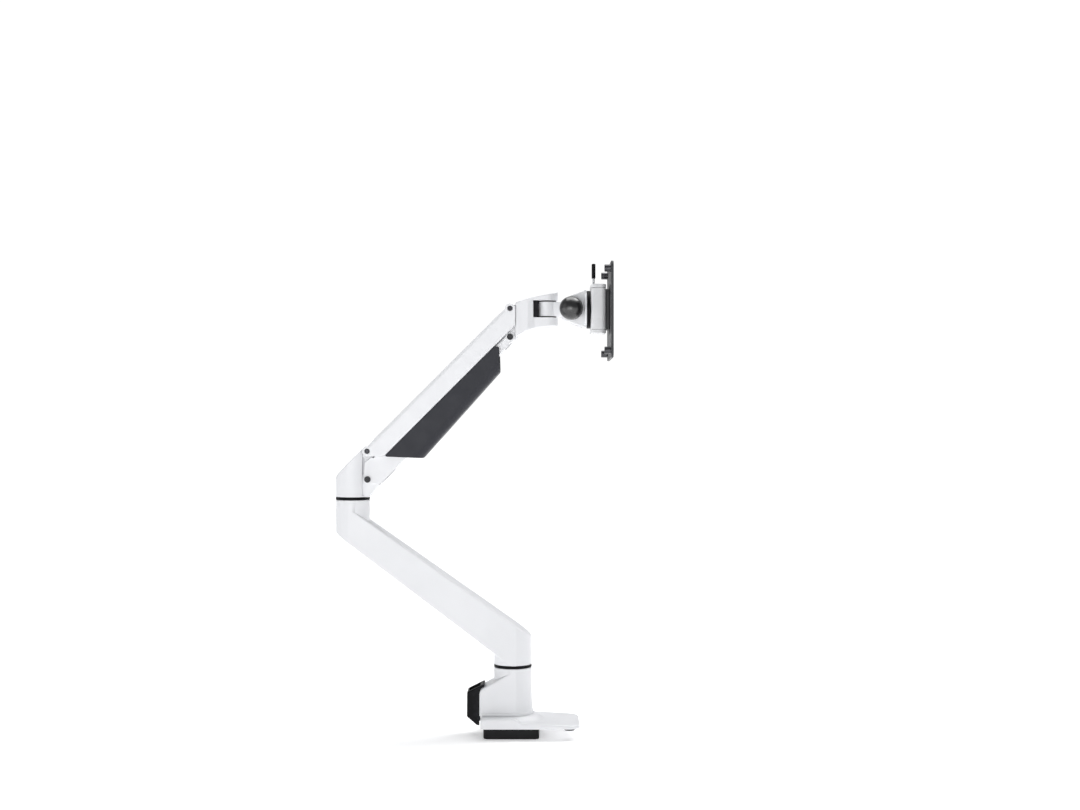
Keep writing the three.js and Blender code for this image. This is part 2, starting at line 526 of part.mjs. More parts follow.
function makeTiltJoint() {
  const low = SLOT.bottom + 1.6;
  const high = SLOT.top - 1.6;
  const tilt = [TILT_X, HEAD_Z];
  const block = cut(
    join(
      bar('z', 12, low, high, [PAN_X, 0], FINE),
      box(PAN_X, TILT_X - 4, -9, 9, low, high),
      bar('y', 10.5, -9, 9, tilt, FINE)),
    bar('z', 4.3, 500, 560, [PAN_X, 0]),
    bar('y', 4.3, -20, 20, tilt));
  node(arm, 'swivel_block', block, WHITE);

  const wedge = join(
    evenY([
      [TILT_X - 2, HEAD_Z - CHEEK.r - 0.6], [FLANGE.to, HEAD_Z - FLANGE.r + 0.4],
      [FLANGE.to, HEAD_Z + FLANGE.r - 0.4], [TILT_X - 2, HEAD_Z + CHEEK.r + 0.6],
    ], CHEEK.outer),
    bar('y', CHEEK.r, -CHEEK.outer, CHEEK.outer, tilt, FINE));
  const bracket = cut(
    join(
      cut(wedge, box(40, 87.5, -CHEEK.inner, CHEEK.inner, HEAD_Z - 40, HEAD_Z + 40)),
      bar('x', FLANGE.r, FLANGE.from, FLANGE.to, [0, HEAD_Z], FINE)),
    bar('y', 4.3, -20, 20, tilt),
    bar('x', 5.3, 80, 95, [0, HEAD_Z]));
  node(arm, 'tilt_bracket', bracket, WHITE);

  node(arm, 'tilt_bolt', bar('y', 4, -25, 22, tilt), STEEL);
  node(arm, 'tilt_nut', cut(bar('y', 7.5, CHEEK.outer + GAP, 20.5, tilt, 6),
    bar('y', 4.3, 0, 30, tilt)), DARK_STEEL);
  const ball = solid(new THREE.SphereGeometry(KNOB.r, 20, 12).translate(TILT_X, KNOB.y, HEAD_Z));
  const knob = cut(
    ball.intersect(box(0, 200, -60, -CHEEK.outer - GAP, HEAD_Z - 60, HEAD_Z + 60)),
    bar('y', 4.3, -25.4, 0, tilt));
  node(arm, 'tilt_knob', knob, GLOSS_BLACK);

  const turn = cut(
    join(bar('x', 7.4, 84.4, 87.2, [0, HEAD_Z]), bar('x', 5, 87, 106, [0, HEAD_Z])),
    bar('x', 3, 80, 86, [0, HEAD_Z], 6));
  node(arm, 'rotation_bolt', turn, DARK_STEEL);
  node(arm, 'rotation_washer',
    ring('x', 5.3, TURN_WASHER.r, TURN_WASHER.from, TURN_WASHER.to, [0, HEAD_Z]), BLACK);
}

function makeReceiver() {
  const z = (up) => HEAD_Z + up;
  const w = RECEIVER.halfWidth;
  const plan = square(RECEIVER.from, RECEIVER.to, -w, w, RECEIVER.corner);
  const hookSpace = box(98.1, RECEIVER.to + 1, -9.4, 9.4, z(7.6), z(14.9));
  const lowHookSpace = box(107, RECEIVER.to + 1, -9.4, 9.4, z(-14.9), z(-7.6));
  const housing = cut(
    slabZ(plan, z(-RECEIVER.half), z(RECEIVER.half)), hookSpace, lowHookSpace,
    bar('x', 5.3, 90, 106.4, [0, HEAD_Z]),
    bar('z', 1.7, z(10), z(30), [LATCH_X, 0]),
    bar('z', 3.1, z(16.6), z(30), [LATCH_X, 0]));
  node(arm, 'receiver_housing', housing, WHITE);
  const capInner = RECEIVER.half + GAP;
  const capOuter = capInner + RECEIVER.cap;
  node(arm, 'receiver_cap_top',
    cut(slabZ(plan, z(capInner), z(capOuter)), bar('z', 1.7, z(20), z(40), [LATCH_X, 0])), WHITE);
  node(arm, 'receiver_cap_bottom', slabZ(plan, z(-capOuter), z(-capInner)), WHITE);

  const plunger = join(
    bar('z', 1.3, z(10), z(LATCH_GRIP.from + 8), [LATCH_X, 0], 10),
    bar('z', 2.8, z(17), z(18.4), [LATCH_X, 0]));
  node(arm, 'latch_plunger', plunger, STEEL);
  const gripPlan = square(LATCH_X - LATCH_GRIP.halfDepth, LATCH_X + LATCH_GRIP.halfDepth,
    -LATCH_GRIP.halfWidth, LATCH_GRIP.halfWidth, 2);
  const grip = cut(slabZ(gripPlan, z(LATCH_GRIP.from), z(LATCH_GRIP.to)),
    bar('z', 1.3 + GAP, z(30), z(LATCH_GRIP.from + 8.3), [LATCH_X, 0], 10));
  node(arm, 'latch_grip', grip, BLACK);
  node(arm, 'latch_spring', ring('z', 1.6, 2.7, z(18.7), z(25.6), [LATCH_X, 0], COARSE), STEEL);

  const hook = cut(box(98.4, BOSS.from + 1, -9, 9, z(8), z(14.5)),
    bar('z', 1.6, z(9.6), z(16), [LATCH_X, 0], 10));
  const boss = join(
    slabX(square(-BOSS.halfWidth, BOSS.halfWidth, z(-BOSS.half), z(BOSS.half), 4), BOSS.from, BOSS.to),
    hook, box(107.4, BOSS.from + 1, -9, 9, z(-14.5), z(-8)));
  const plateScrews = [[0, -20], [0, 20]];
  const screwHoles = plateScrews
    .map(([y, up]) => bar('x', 2.1, BOSS.from + 1, BOSS.to + 1, [y, z(up)], 10));
  node(arm, 'plate_boss', cut(boss, ...screwHoles), CHARCOAL);

  const middle = HEAD_Z - VESA.drop;
  const plateOutline = square(-VESA.half, VESA.half, middle - VESA.half, middle + VESA.half, VESA.corner);
  const corners = (pitch) => [[-1, -1], [1, -1], [1, 1], [-1, 1]]
    .map(([y, up]) => [y * pitch / 2, middle + up * pitch / 2]);
  const holes = VESA_PATTERNS.flatMap(corners)
    .map((at) => bar('x', VESA.holeR, VESA.from - 1, VESA.to + 1, at, 12));
  const countersinks = plateScrews.map(([y, up]) => (
    bar('x', 2.1, VESA.from - 1, VESA.to + 0.2, [y, z(up)], 10, 4.1)));
  node(arm, 'vesa_plate', cut(slabX(plateOutline, VESA.from, VESA.to), ...holes, ...countersinks), CHARCOAL);
  nodes(arm, 'plate_screw', plateScrews, ([y, up]) => join(
    bar('x', 1.8, BOSS.from + 1.4, VESA.from + 0.8, [y, z(up)], 10),
    bar('x', 1.8, VESA.from + 0.4, VESA.to - GAP, [y, z(up)], 10, 3.6)), DARK_STEEL);
  nodes(arm, 'monitor_screw', corners(VESA_PATTERNS[1]), (at) => join(
    bar('x', 4.4, 112.4, VESA.from - GAP, at, 12),
    bar('x', 1.95, VESA.from - 1, VESA.to - GAP, at, 12)), DARK_STEEL);
}

makeFoot();
makeBase();
makeLowerArm();
makeElbow();
makeUpperArm();
makeGasSpring();
makeLowerLink();
makeHeadBracket();
makeTiltJoint();
makeReceiver();

export default arm;
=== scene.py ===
"""Looks of a desk monitor arm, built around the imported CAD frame.

Lengths in this script are millimetres until place() puts a finished mesh into the metre frame.
Every piece is a solid made here from outlines, turned profiles and cuts, with rounded edges.
"""

import json
import math

import bmesh
import bpy
from mathutils import Matrix, Vector


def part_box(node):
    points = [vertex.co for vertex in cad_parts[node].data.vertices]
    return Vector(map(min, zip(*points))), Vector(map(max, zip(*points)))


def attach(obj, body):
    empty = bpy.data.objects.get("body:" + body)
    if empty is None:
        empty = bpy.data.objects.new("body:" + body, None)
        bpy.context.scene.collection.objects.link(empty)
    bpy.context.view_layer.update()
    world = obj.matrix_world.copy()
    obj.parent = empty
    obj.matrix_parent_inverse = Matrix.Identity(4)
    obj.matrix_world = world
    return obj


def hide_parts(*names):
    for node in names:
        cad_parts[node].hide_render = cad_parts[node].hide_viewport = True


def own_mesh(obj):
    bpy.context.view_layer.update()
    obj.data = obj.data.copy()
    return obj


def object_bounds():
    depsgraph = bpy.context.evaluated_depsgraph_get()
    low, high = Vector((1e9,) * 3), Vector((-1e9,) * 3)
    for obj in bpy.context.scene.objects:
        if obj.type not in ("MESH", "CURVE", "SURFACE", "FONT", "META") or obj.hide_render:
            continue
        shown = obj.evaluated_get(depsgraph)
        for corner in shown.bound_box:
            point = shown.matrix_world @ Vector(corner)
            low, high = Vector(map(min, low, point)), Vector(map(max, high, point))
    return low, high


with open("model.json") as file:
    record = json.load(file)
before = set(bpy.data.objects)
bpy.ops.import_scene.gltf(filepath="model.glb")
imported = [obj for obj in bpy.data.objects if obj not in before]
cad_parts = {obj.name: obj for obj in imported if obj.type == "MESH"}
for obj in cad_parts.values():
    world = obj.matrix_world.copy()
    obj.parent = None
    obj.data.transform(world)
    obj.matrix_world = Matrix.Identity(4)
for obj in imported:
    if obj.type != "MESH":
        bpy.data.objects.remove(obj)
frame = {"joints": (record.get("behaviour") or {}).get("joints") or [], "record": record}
cad_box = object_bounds()

MM = 0.001
TAU = 2 * math.pi
JOINTS = {joint["name"]: joint for joint in frame["joints"]}


def span(node):
    """The lowest and highest corner of a CAD node, in millimetres."""
    low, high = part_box(node)
    return low / MM, high / MM


def axis_at(joint):
    """A point on a joint's axis, in millimetres."""
    return Vector(JOINTS[joint]["pos_m"]) / MM


# ---------------------------------------------------------------- places, from the frame

ELBOW = axis_at("elbow_swivel")
PIVOT_A = axis_at("lift")
PIVOT_B = axis_at("link_pivot")
PIVOT_C = axis_at("head_level")
PIVOT_D = PIVOT_C + PIVOT_B - PIVOT_A
SPRING_TOP = axis_at("spring_tilt")
PAN = axis_at("head_pan")
TILT = axis_at("head_tilt")
TURN = axis_at("screen_rotation")
LINK = (PIVOT_C - PIVOT_A).length
LIFT = math.atan2(PIVOT_C.z - PIVOT_A.z, PIVOT_C.x - PIVOT_A.x)
UPPER_FRAME = Matrix.Translation(PIVOT_A) @ Matrix.Rotation(-LIFT, 4, "Y")
LOWER_FRAME = Matrix.Translation(PIVOT_B) @ Matrix.Rotation(-LIFT, 4, "Y")


# ---------------------------------------------------------------- outlines

def arc(centre, radius, start, end, steps=16):
    """Points on an arc, in degrees, both ends included."""
    turns = [math.radians(start + (end - start) * i / steps) for i in range(steps + 1)]
    return [(centre[0] + radius * math.cos(a), centre[1] + radius * math.sin(a)) for a in turns]


def outline(corners, steps=8):
    """A closed outline through (u, v, radius) corners; a corner with a radius becomes an arc."""
    points = []
    for i, (u, v, *radius) in enumerate(corners):
        corner = Vector((u, v))
        if not radius or radius[0] == 0:
            points.append((u, v))
            continue
        before = (Vector(corners[i - 1][:2]) - corner).normalized()
        after = (Vector(corners[(i + 1) % len(corners)][:2]) - corner).normalized()
        half = before.angle(after) / 2
        reach = radius[0] / math.tan(half)
        middle = corner + (before + after).normalized() * radius[0] / math.sin(half)
        first = corner + before * reach - middle
        last = corner + after * reach - middle
        sweep = first.angle_signed(last)
        for step in range(steps + 1):
            spoke = first.copy()
            spoke.rotate(Matrix.Rotation(-sweep * step / steps, 2))
            points.append(tuple(middle + spoke))
    return points


def square(u0, u1, v0, v1, radius=0):
    return outline([(u0, v0, radius), (u1, v0, radius), (u1, v1, radius), (u0, v1, radius)])


def bezier(a, b, c, d, steps=12):
    """Points on a cubic curve from a to d, both ends included."""
    curve = []
    for i in range(steps + 1):
        t = i / steps
        weights = ((1 - t) ** 3, 3 * t * (1 - t) ** 2, 3 * t * t * (1 - t), t ** 3)
        curve.append(tuple(sum(w * p[k] for w, p in zip(weights, (a, b, c, d))) for k in (0, 1)))
    return curve


# ---------------------------------------------------------------- solids

PLANES = {"x": (1, 2, 0), "y": (0, 2, 1), "z": (0, 1, 2)}


def spot(axis, u, v, along):
    """The point at (u, v) in the plane across an axis, and so far along it."""
    where = [0.0, 0.0, 0.0]
    for coordinate, value in zip(PLANES[axis], (u, v, along)):
        where[coordinate] = value
    return where


def solid(bm):
    """A scene object from a finished bmesh."""
    bmesh.ops.remove_doubles(bm, verts=bm.verts, dist=1e-4)
    bmesh.ops.recalc_face_normals(bm, faces=bm.faces)
    mesh = bpy.data.meshes.new("work")
    bm.to_mesh(mesh)
    bm.free()
    obj = bpy.data.objects.new("work", mesh)
    bpy.context.scene.collection.objects.link(obj)
    return obj


def loft(rings, closed=False):
    """A skin over rings of points with the same count, capped at both ends or closed on itself."""
    bm = bmesh.new()
    rows = [[bm.verts.new(p) for p in ring] for ring in rings]
    pairs = list(zip(rows, rows[1:])) + ([(rows[-1], rows[0])] if closed else [])
    for lower, upper in pairs:
        for i in range(len(lower)):
            bm.faces.new((lower[i - 1], lower[i], upper[i], upper[i - 1]))
    if not closed:
        bm.faces.new(rows[0])
        bm.faces.new(rows[-1])
    return solid(bm)


def prism(axis, points, low, high):
    return loft([[spot(axis, u, v, along) for u, v in points] for along in (low, high)])


def even(points, half):
    """A prism across the arm, as far to its left as to its right."""
    return prism("y", points, -half, half)


def block(x0, x1, y0, y1, z0, z1):
    return prism("z", [(x0, y0), (x1, y0), (x1, y1), (x0, y1)], z0, z1)


def turned(axis, profile, at=(0, 0), steps=72, closed=False):
    """A turned solid: profile is (radius, along) pairs, with at as the axis's place across it."""
    turns = [TAU * i / steps for i in range(steps)]
    return loft([
        [spot(axis, at[0] + r * math.cos(a), at[1] + r * math.sin(a), along) for a in turns]
        for r, along in profile], closed)


def rod(axis, radius, low, high, at=(0, 0), soft=0.0, steps=72):
    """A round bar with its two rims rounded by soft."""
    if soft == 0:
        return turned(axis, [(radius, low), (radius, high)], at, steps)
    rim = [(radius - soft + soft * math.cos(a), soft * math.sin(a))
           for a in (math.pi / 2 * i / 4 for i in range(5))]
    profile = [(r, low + soft - up) for r, up in reversed(rim)]
    profile += [(r, high - soft + up) for r, up in rim]
    return turned(axis, profile, at, steps)


def hoop(axis, inner, outer, low, high, at=(0, 0), soft=0.4, steps=72):
    """A flat ring with its outer rims rounded and its inner ones chamfered."""
    rim = [(outer - soft + soft * math.cos(a), soft * math.sin(a))
           for a in (math.pi / 2 * i / 4 for i in range(5))]
    profile = [(r, low + soft - up) for r, up in reversed(rim)]
    profile += [(r, high - soft + up) for r, up in rim]
    profile += [(inner + soft, high), (inner, high - soft), (inner, low + soft), (inner + soft, low)]
    return turned(axis, profile, at, steps, closed=True)


def settled(obj):
    """obj, with what its modifiers make as its own mesh."""
    graph = bpy.context.evaluated_depsgraph_get()
    mesh = bpy.data.meshes.new_from_object(obj.evaluated_get(graph))
    obj.modifiers.clear()
    obj.data = mesh
    return obj


def boolean(body, tools, operation):
    for tool in tools:
        step = body.modifiers.new("boolean", "BOOLEAN")
        step.operation = operation
        step.solver = "EXACT"
        step.object = tool
        settled(body)
        bpy.data.objects.remove(tool)
    bm = bmesh.new()
    bm.from_mesh(body.data)
    bmesh.ops.remove_doubles(bm, verts=bm.verts, dist=2e-3)
    bmesh.ops.dissolve_degenerate(bm, edges=bm.edges, dist=1e-3)
    bmesh.ops.holes_fill(bm, edges=[edge for edge in bm.edges if edge.is_boundary], sides=6)
    bm.to_mesh(body.data)
    bm.free()
    return body


def join(body, *others):
    return boolean(body, others, "UNION")


def cut(body, *tools):
    return boolean(body, tools, "DIFFERENCE")


def common(body, *others):
    return boolean(body, others, "INTERSECT")


def soften(obj, radius, steps=3, where=None, angle=28):
    """Rounds the sharp outward edges of obj, or only those whose middle passes the test where."""
    bm = bmesh.new()
    bm.from_mesh(obj.data)
    limit = math.radians(angle)
    chosen = []
    for edge in bm.edges:
        middle = (edge.verts[0].co + edge.verts[1].co) / 2
        if edge.is_convex and edge.calc_face_angle(0) > limit and (where is None or where(middle)):
            chosen.append(edge)
    bmesh.ops.bevel(bm, geom=chosen, offset=radius, offset_type="OFFSET", segments=steps, profile=0.5,
                    affect="EDGES", clamp_overlap=False)
    bmesh.ops.remove_doubles(bm, verts=bm.verts, dist=1e-3)
    bm.to_mesh(obj.data)
    bm.free()
    return obj


def bore(axis, radius, low, high, at=(0, 0), rims=(0.4, 0.4), steps=48):
    """A cutter for a round hole from low to high, with a chamfer at each end that is given one."""
    profile = [(radius + rims[0] + 1, low - 1), (radius, low + rims[0])] if rims[0] else [(radius, low)]
    if rims[1]:
        profile += [(radius, high - rims[1]), (radius + rims[1] + 1, high + 1)]
    else:
        profile.append((radius, high))
    return turned(axis, profile, at, steps)


def hexagon(axis, radius, low, high, at=(0, 0), turn=0.0):
    corners = [TAU * i / 6 + turn for i in range(6)]
    points = [(at[0] + radius * math.cos(a), at[1] + radius * math.sin(a)) for a in corners]
    return prism(axis, points, low, high)


# ---------------------------------------------------------------- materials

def value_range(nodes, links, source, low, high):
    """A noise output, mapped from its middle band to low..high."""
    spread = nodes.new("ShaderNodeMapRange")
    spread.inputs["From Min"].default_value = 0.35
    spread.inputs["From Max"].default_value = 0.65
    spread.inputs["To Min"].default_value = low
    spread.inputs["To Max"].default_value = high
    links.new(source, spread.inputs["Value"])
    return spread.outputs["Result"]


def noise(nodes, links, source, scale, detail):
    texture = nodes.new("ShaderNodeTexNoise")
    texture.inputs["Scale"].default_value = scale
    texture.inputs["Detail"].default_value = detail
    links.new(source, texture.inputs["Vector"])
    return texture.outputs["Fac"]


def surface(name, colour, drift, rough, grain, depth, wear_and_sheen_colour, wear_and_sheen_at=(0.53, 0.6), stretch=(1, 1, 1),
            **fixed):
    """A material that drifts in colour and roughness, with a fine grain and lighter sharp edges.

    colour is the mean, drift the share that it wanders by, rough the roughness range, grain the
    bumps per metre, depth their height in metres, and the colour after depth the one that sharp
    edges lighten towards: partly rubbed paint, partly a painted sheen along the edges.
    """
    material = bpy.data.materials.new(name)
    material.use_nodes = True
    nodes = material.node_tree.nodes
    links = material.node_tree.links
    shader = nodes["Principled BSDF"]
    where = nodes.new("ShaderNodeTexCoord").outputs["Object"]
    mapping = nodes.new("ShaderNodeMapping")
    mapping.inputs["Scale"].default_value = stretch
    links.new(where, mapping.inputs["Vector"])

    ramp = nodes.new("ShaderNodeValToRGB")
    ramp.color_ramp.elements[0].position = 0.35
    ramp.color_ramp.elements[1].position = 0.65
    ramp.color_ramp.elements[0].color = [c * (1 - drift) for c in colour] + [1]
    ramp.color_ramp.elements[1].color = [min(1, c * (1 + drift)) for c in colour] + [1]
    links.new(noise(nodes, links, where, 22, 4), ramp.inputs["Fac"])

    # Sharp edges, found by pointiness and broken into patches by noise, lighten towards the edge
    # colour: partly rubbed paint, partly a painted sheen.
    edges = nodes.new("ShaderNodeMapRange")
    edges.inputs["From Min"].default_value = wear_and_sheen_at[0]
    edges.inputs["From Max"].default_value = wear_and_sheen_at[1]
    links.new(nodes.new("ShaderNodeNewGeometry").outputs["Pointiness"], edges.inputs["Value"])
    patchy_wear_and_sheen = nodes.new("ShaderNodeMath")
    patchy_wear_and_sheen.operation = "MULTIPLY"
    links.new(edges.outputs["Result"], patchy_wear_and_sheen.inputs[0])
    wear_and_sheen_patches = noise(nodes, links, where, 160, 5)
    links.new(value_range(nodes, links, wear_and_sheen_patches, 0.1, 0.7), patchy_wear_and_sheen.inputs[1])
    edge_wear_and_sheen = nodes.new("ShaderNodeMix")
    edge_wear_and_sheen.data_type = "RGBA"
    edge_wear_and_sheen.inputs["B"].default_value = (*wear_and_sheen_colour, 1)
    links.new(patchy_wear_and_sheen.outputs[0], edge_wear_and_sheen.inputs["Factor"])
    links.new(ramp.outputs["Color"], edge_wear_and_sheen.inputs["A"])
    links.new(edge_wear_and_sheen.outputs["Result"], shader.inputs["Base Color"])

    fine = noise(nodes, links, mapping.outputs["Vector"], grain, 3)
    smears = noise(nodes, links, where, 70, 6)
    links.new(value_range(nodes, links, smears, *rough), shader.inputs["Roughness"])
    bump = nodes.new("ShaderNodeBump")
    bump.inputs["Strength"].default_value = 1
    bump.inputs["Distance"].default_value = depth
    links.new(fine, bump.inputs["Height"])
    links.new(bump.outputs["Normal"], shader.inputs["Normal"])
    for socket, amount in fixed.items():
        shader.inputs[socket.replace("_", " ")].default_value = amount
    return material


# Each look's last colour is what its sharp edges lighten towards: partly rubbed paint, partly a painted
# sheen.
LOOKS = {
    "white_paint": surface("white_paint", (0.80, 0.805, 0.825), 0.012, (0.30, 0.42), 1500, 1.2e-5,
                           (0.86, 0.86, 0.865)),
    "white_plastic": surface("white_plastic", (0.79, 0.795, 0.81), 0.01, (0.24, 0.34), 2400, 5e-6,
                             (0.85, 0.85, 0.85), Coat_Weight=0.15),
    "cover_plastic": surface("cover_plastic", (0.031, 0.032, 0.039), 0.08, (0.42, 0.52), 2600, 1.5e-5,
                             (0.08, 0.08, 0.085), Specular_IOR_Level=0.2),
    "black_plastic": surface("black_plastic", (0.005, 0.005, 0.006), 0.12, (0.38, 0.48), 2600, 1.5e-5,
                             (0.025, 0.025, 0.03), Specular_IOR_Level=0.1),
    "block_paint": surface("block_paint", (0.010, 0.010, 0.011), 0.15, (0.34, 0.48), 1700, 1.6e-5,
                           (0.05, 0.05, 0.055), Specular_IOR_Level=0.12),
    "gloss_black": surface("gloss_black", (0.006, 0.006, 0.007), 0.1, (0.27, 0.33), 900, 2e-6,
                           (0.02, 0.02, 0.022), Specular_IOR_Level=0.95),
    "black_cylinder": surface("black_cylinder", (0.016, 0.016, 0.018), 0.1, (0.20, 0.30), 1200, 4e-6,
                              (0.08, 0.08, 0.085)),
    "charcoal_steel": surface("charcoal_steel", (0.040, 0.041, 0.044), 0.1, (0.38, 0.52), 1600, 1.6e-5,
                              (0.12, 0.12, 0.125), Specular_IOR_Level=0.3),
    "rubber": surface("rubber", (0.02, 0.02, 0.021), 0.12, (0.70, 0.85), 1400, 3e-5,
                      (0.05, 0.05, 0.05)),
    "steel": surface("steel", (0.56, 0.57, 0.59), 0.05, (0.18, 0.32), 3000, 4e-6, (0.72, 0.72, 0.73),
                     stretch=(0.2, 1, 1), Metallic=1.0),
    "dark_steel": surface("dark_steel", (0.045, 0.045, 0.05), 0.12, (0.26, 0.40), 2200, 8e-6,
                          (0.24, 0.24, 0.25), Metallic=0.85),
    "bronze": surface("bronze", (0.46, 0.33, 0.16), 0.08, (0.34, 0.5), 1800, 1e-5, (0.62, 0.48, 0.26),
                      Metallic=1.0),
}
SLOT_OF = {row["node"]: row["material_slot"] for row in frame["record"]["subparts"]}
BODY_OF = {node: body
           for body, nodes in frame["record"]["behaviour"]["bodies"].items() for node in nodes}


def place(obj, node, local=None, sharp=32):
    """Puts a finished solid into the frame as the piece that stands for a CAD node."""
    obj.data.transform(Matrix.Scale(MM, 4) @ (local or Matrix.Identity(4)))
    obj.name = node + ".look"
    obj.data.name = obj.name
    bm = bmesh.new()
    bm.from_mesh(obj.data)
    for face in bm.faces:
        face.smooth = True
    for edge in bm.edges:
        edge.smooth = edge.calc_face_angle(0) < math.radians(sharp)
    bm.to_mesh(obj.data)
    bm.free()
    normals = obj.modifiers.new("weighted_normals", "WEIGHTED_NORMAL")
    normals.keep_sharp = True
    normals.weight = 90
    slot = SLOT_OF[node]
    obj.data.materials.clear()
    obj.data.materials.append(LOOKS[slot])
    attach(obj, BODY_OF[node])
    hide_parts(node)
    return obj


# ---------------------------------------------------------------- fasteners

def screw(axis, at, head, shank, socket, depth, soft=0.5):
    """A socket screw. head is (radius, outer face, inner face), shank is (radius, end)."""
    r, outer, inner = head
    way = 1 if inner > outer else -1
    rim = [(r - soft + soft * math.cos(a), outer + way * (soft - soft * math.sin(a)))
           for a in (math.pi / 2 * (4 - i) / 4 for i in range(5))]
    profile = rim + [(r, inner), (shank[0], inner), (shank[0], shank[1] - way * 0.5),
                     (shank[0] - 0.5, shank[1])]
    body = turned(axis, profile, at, 48)
    hollow = hexagon(axis, socket, outer - way, outer + way * depth, at)
    mouth = turned(axis, [(socket + 1.0, outer - way), (socket - 0.35, outer + way * 0.35)], at, 24)
    return cut(body, hollow, mouth)


# ---------------------------------------------------------------- foot and base

SIDE_END = 4.4
FOOT_EDGE = 2.4
TONGUE_TOP = 21.6
TONGUE_TIP = 18.2
COLLAR_R = 28
LIP_R = 26


def foot_height(x, y, low, high):
    """The foot's upper face: a thick rear half and a collar, running down into a thin tongue."""
    tongue = TONGUE_TOP + (TONGUE_TIP - TONGUE_TOP) * max(0, (x - 20) / (high.x - 20))
    away = min(max(x - 1, 0), max(math.hypot(x, y) - COLLAR_R, 0)) / 12
    away = min(1, away)
    ease = away * away * (3 - 2 * away)
    return high.z + (tongue - high.z) * ease


def evenly(points, count):
    """A closed outline, sampled again at even steps."""
    loop = [Vector(p) for p in points] + [Vector(points[0])]
    lengths = [(b - a).length for a, b in zip(loop, loop[1:])]
    step = sum(lengths) / count
    result, done, i = [], 0.0, 0
    for k in range(count):
        target = k * step
        while done + lengths[i] < target:
            done += lengths[i]
            i += 1
        result.append(loop[i].lerp(loop[i + 1], (target - done) / lengths[i]))
    return result


def make_foot():
    low, high = span("foot_plate")
    plan = evenly(outline([
        (low.x, low.y, 5), (high.x, low.y, 14), (high.x, high.y, 14), (low.x, high.y, 5)]), 220)
    inward = []
    for i, p in enumerate(plan):
        along = plan[(i + 1) % len(plan)] - plan[i - 1]
        inward.append(Vector((-along.y, along.x)).normalized())
    foot = [(0.9, 0.0), (0.3, 0.25), (0.0, 0.9)]
    rings = [[(*(p + n * d), low.z + up) for p, n in zip(plan, inward)] for d, up in foot]
    for i in range(7):
        turn = math.pi / 2 * i / 6
        d = FOOT_EDGE * (1 - math.cos(turn))
        drop = FOOT_EDGE * (1 - math.sin(turn))
        ring = []
        for p, n in zip(plan, inward):
            q = p + n * d
            ring.append((*q, foot_height(q.x, q.y, low, high) - drop))
        rings.append(ring)
    for i in range(1, 31):
        ring = []
        for p, n in zip(plan, inward):
            edge = p + n * FOOT_EDGE
            q = edge.lerp(edge.normalized() * 12, i / 30)
            ring.append((*q, foot_height(q.x, q.y, low, high)))
        rings.append(ring)
    place(cut(loft(rings), bore("z", 8, 0, 22, rims=(0, 0)), bore("z", 5.3, 20, 30, rims=(0, 0))),
          "foot_plate")

    low, high = span("mounting_block")
    body = soften(prism("z", square(low.x, high.x, low.y, high.y, 6), low.z, high.z), 1.3, 4)
    screws = [span(f"block_screw_{i}") for i in (1, 2)]
    places = [((a.x + b.x) / 2, (a.y + b.y) / 2) for a, b in screws]
    tools = [bore("z", 4.7, -1, 5.5, at, rims=(0, 0)) for at in places]
    tools += [bore("z", 4.7, 0, 3, at, rims=(0.5, 0)) for at in places]
    tools += [bore("z", 2.8, 5, high.z + 1, at, rims=(0, 0)) for at in places]
    tools += [bore("z", 2.5, 0, high.z + 1, (0, y), rims=(0.6, 0)) for y in (-20, 20)]
    place(cut(body, *tools), "mounting_block")
    for i, at in enumerate(places):
        a, b = screws[i]
        place(screw("z", at, (4.4, a.z, 5.2), (2.5, b.z), 2.3, 2.4), f"block_screw_{i + 1}")
    for i in (1, 2):
        a, b = span(f"front_pad_{i}")
        at = ((a.x + b.x) / 2, (a.y + b.y) / 2)
        place(rod("z", (b.x - a.x) / 2, a.z, b.z, at, soft=0.6), f"front_pad_{i}")


def d_outline(back, radius, corner):
    """Half a circle to the front, and a box with rounded corners behind it."""
    box = outline([(0, radius), (back, radius, corner), (back, -radius, corner), (0, -radius)])
    return arc((0, 0), radius, -89, 89, 48) + box


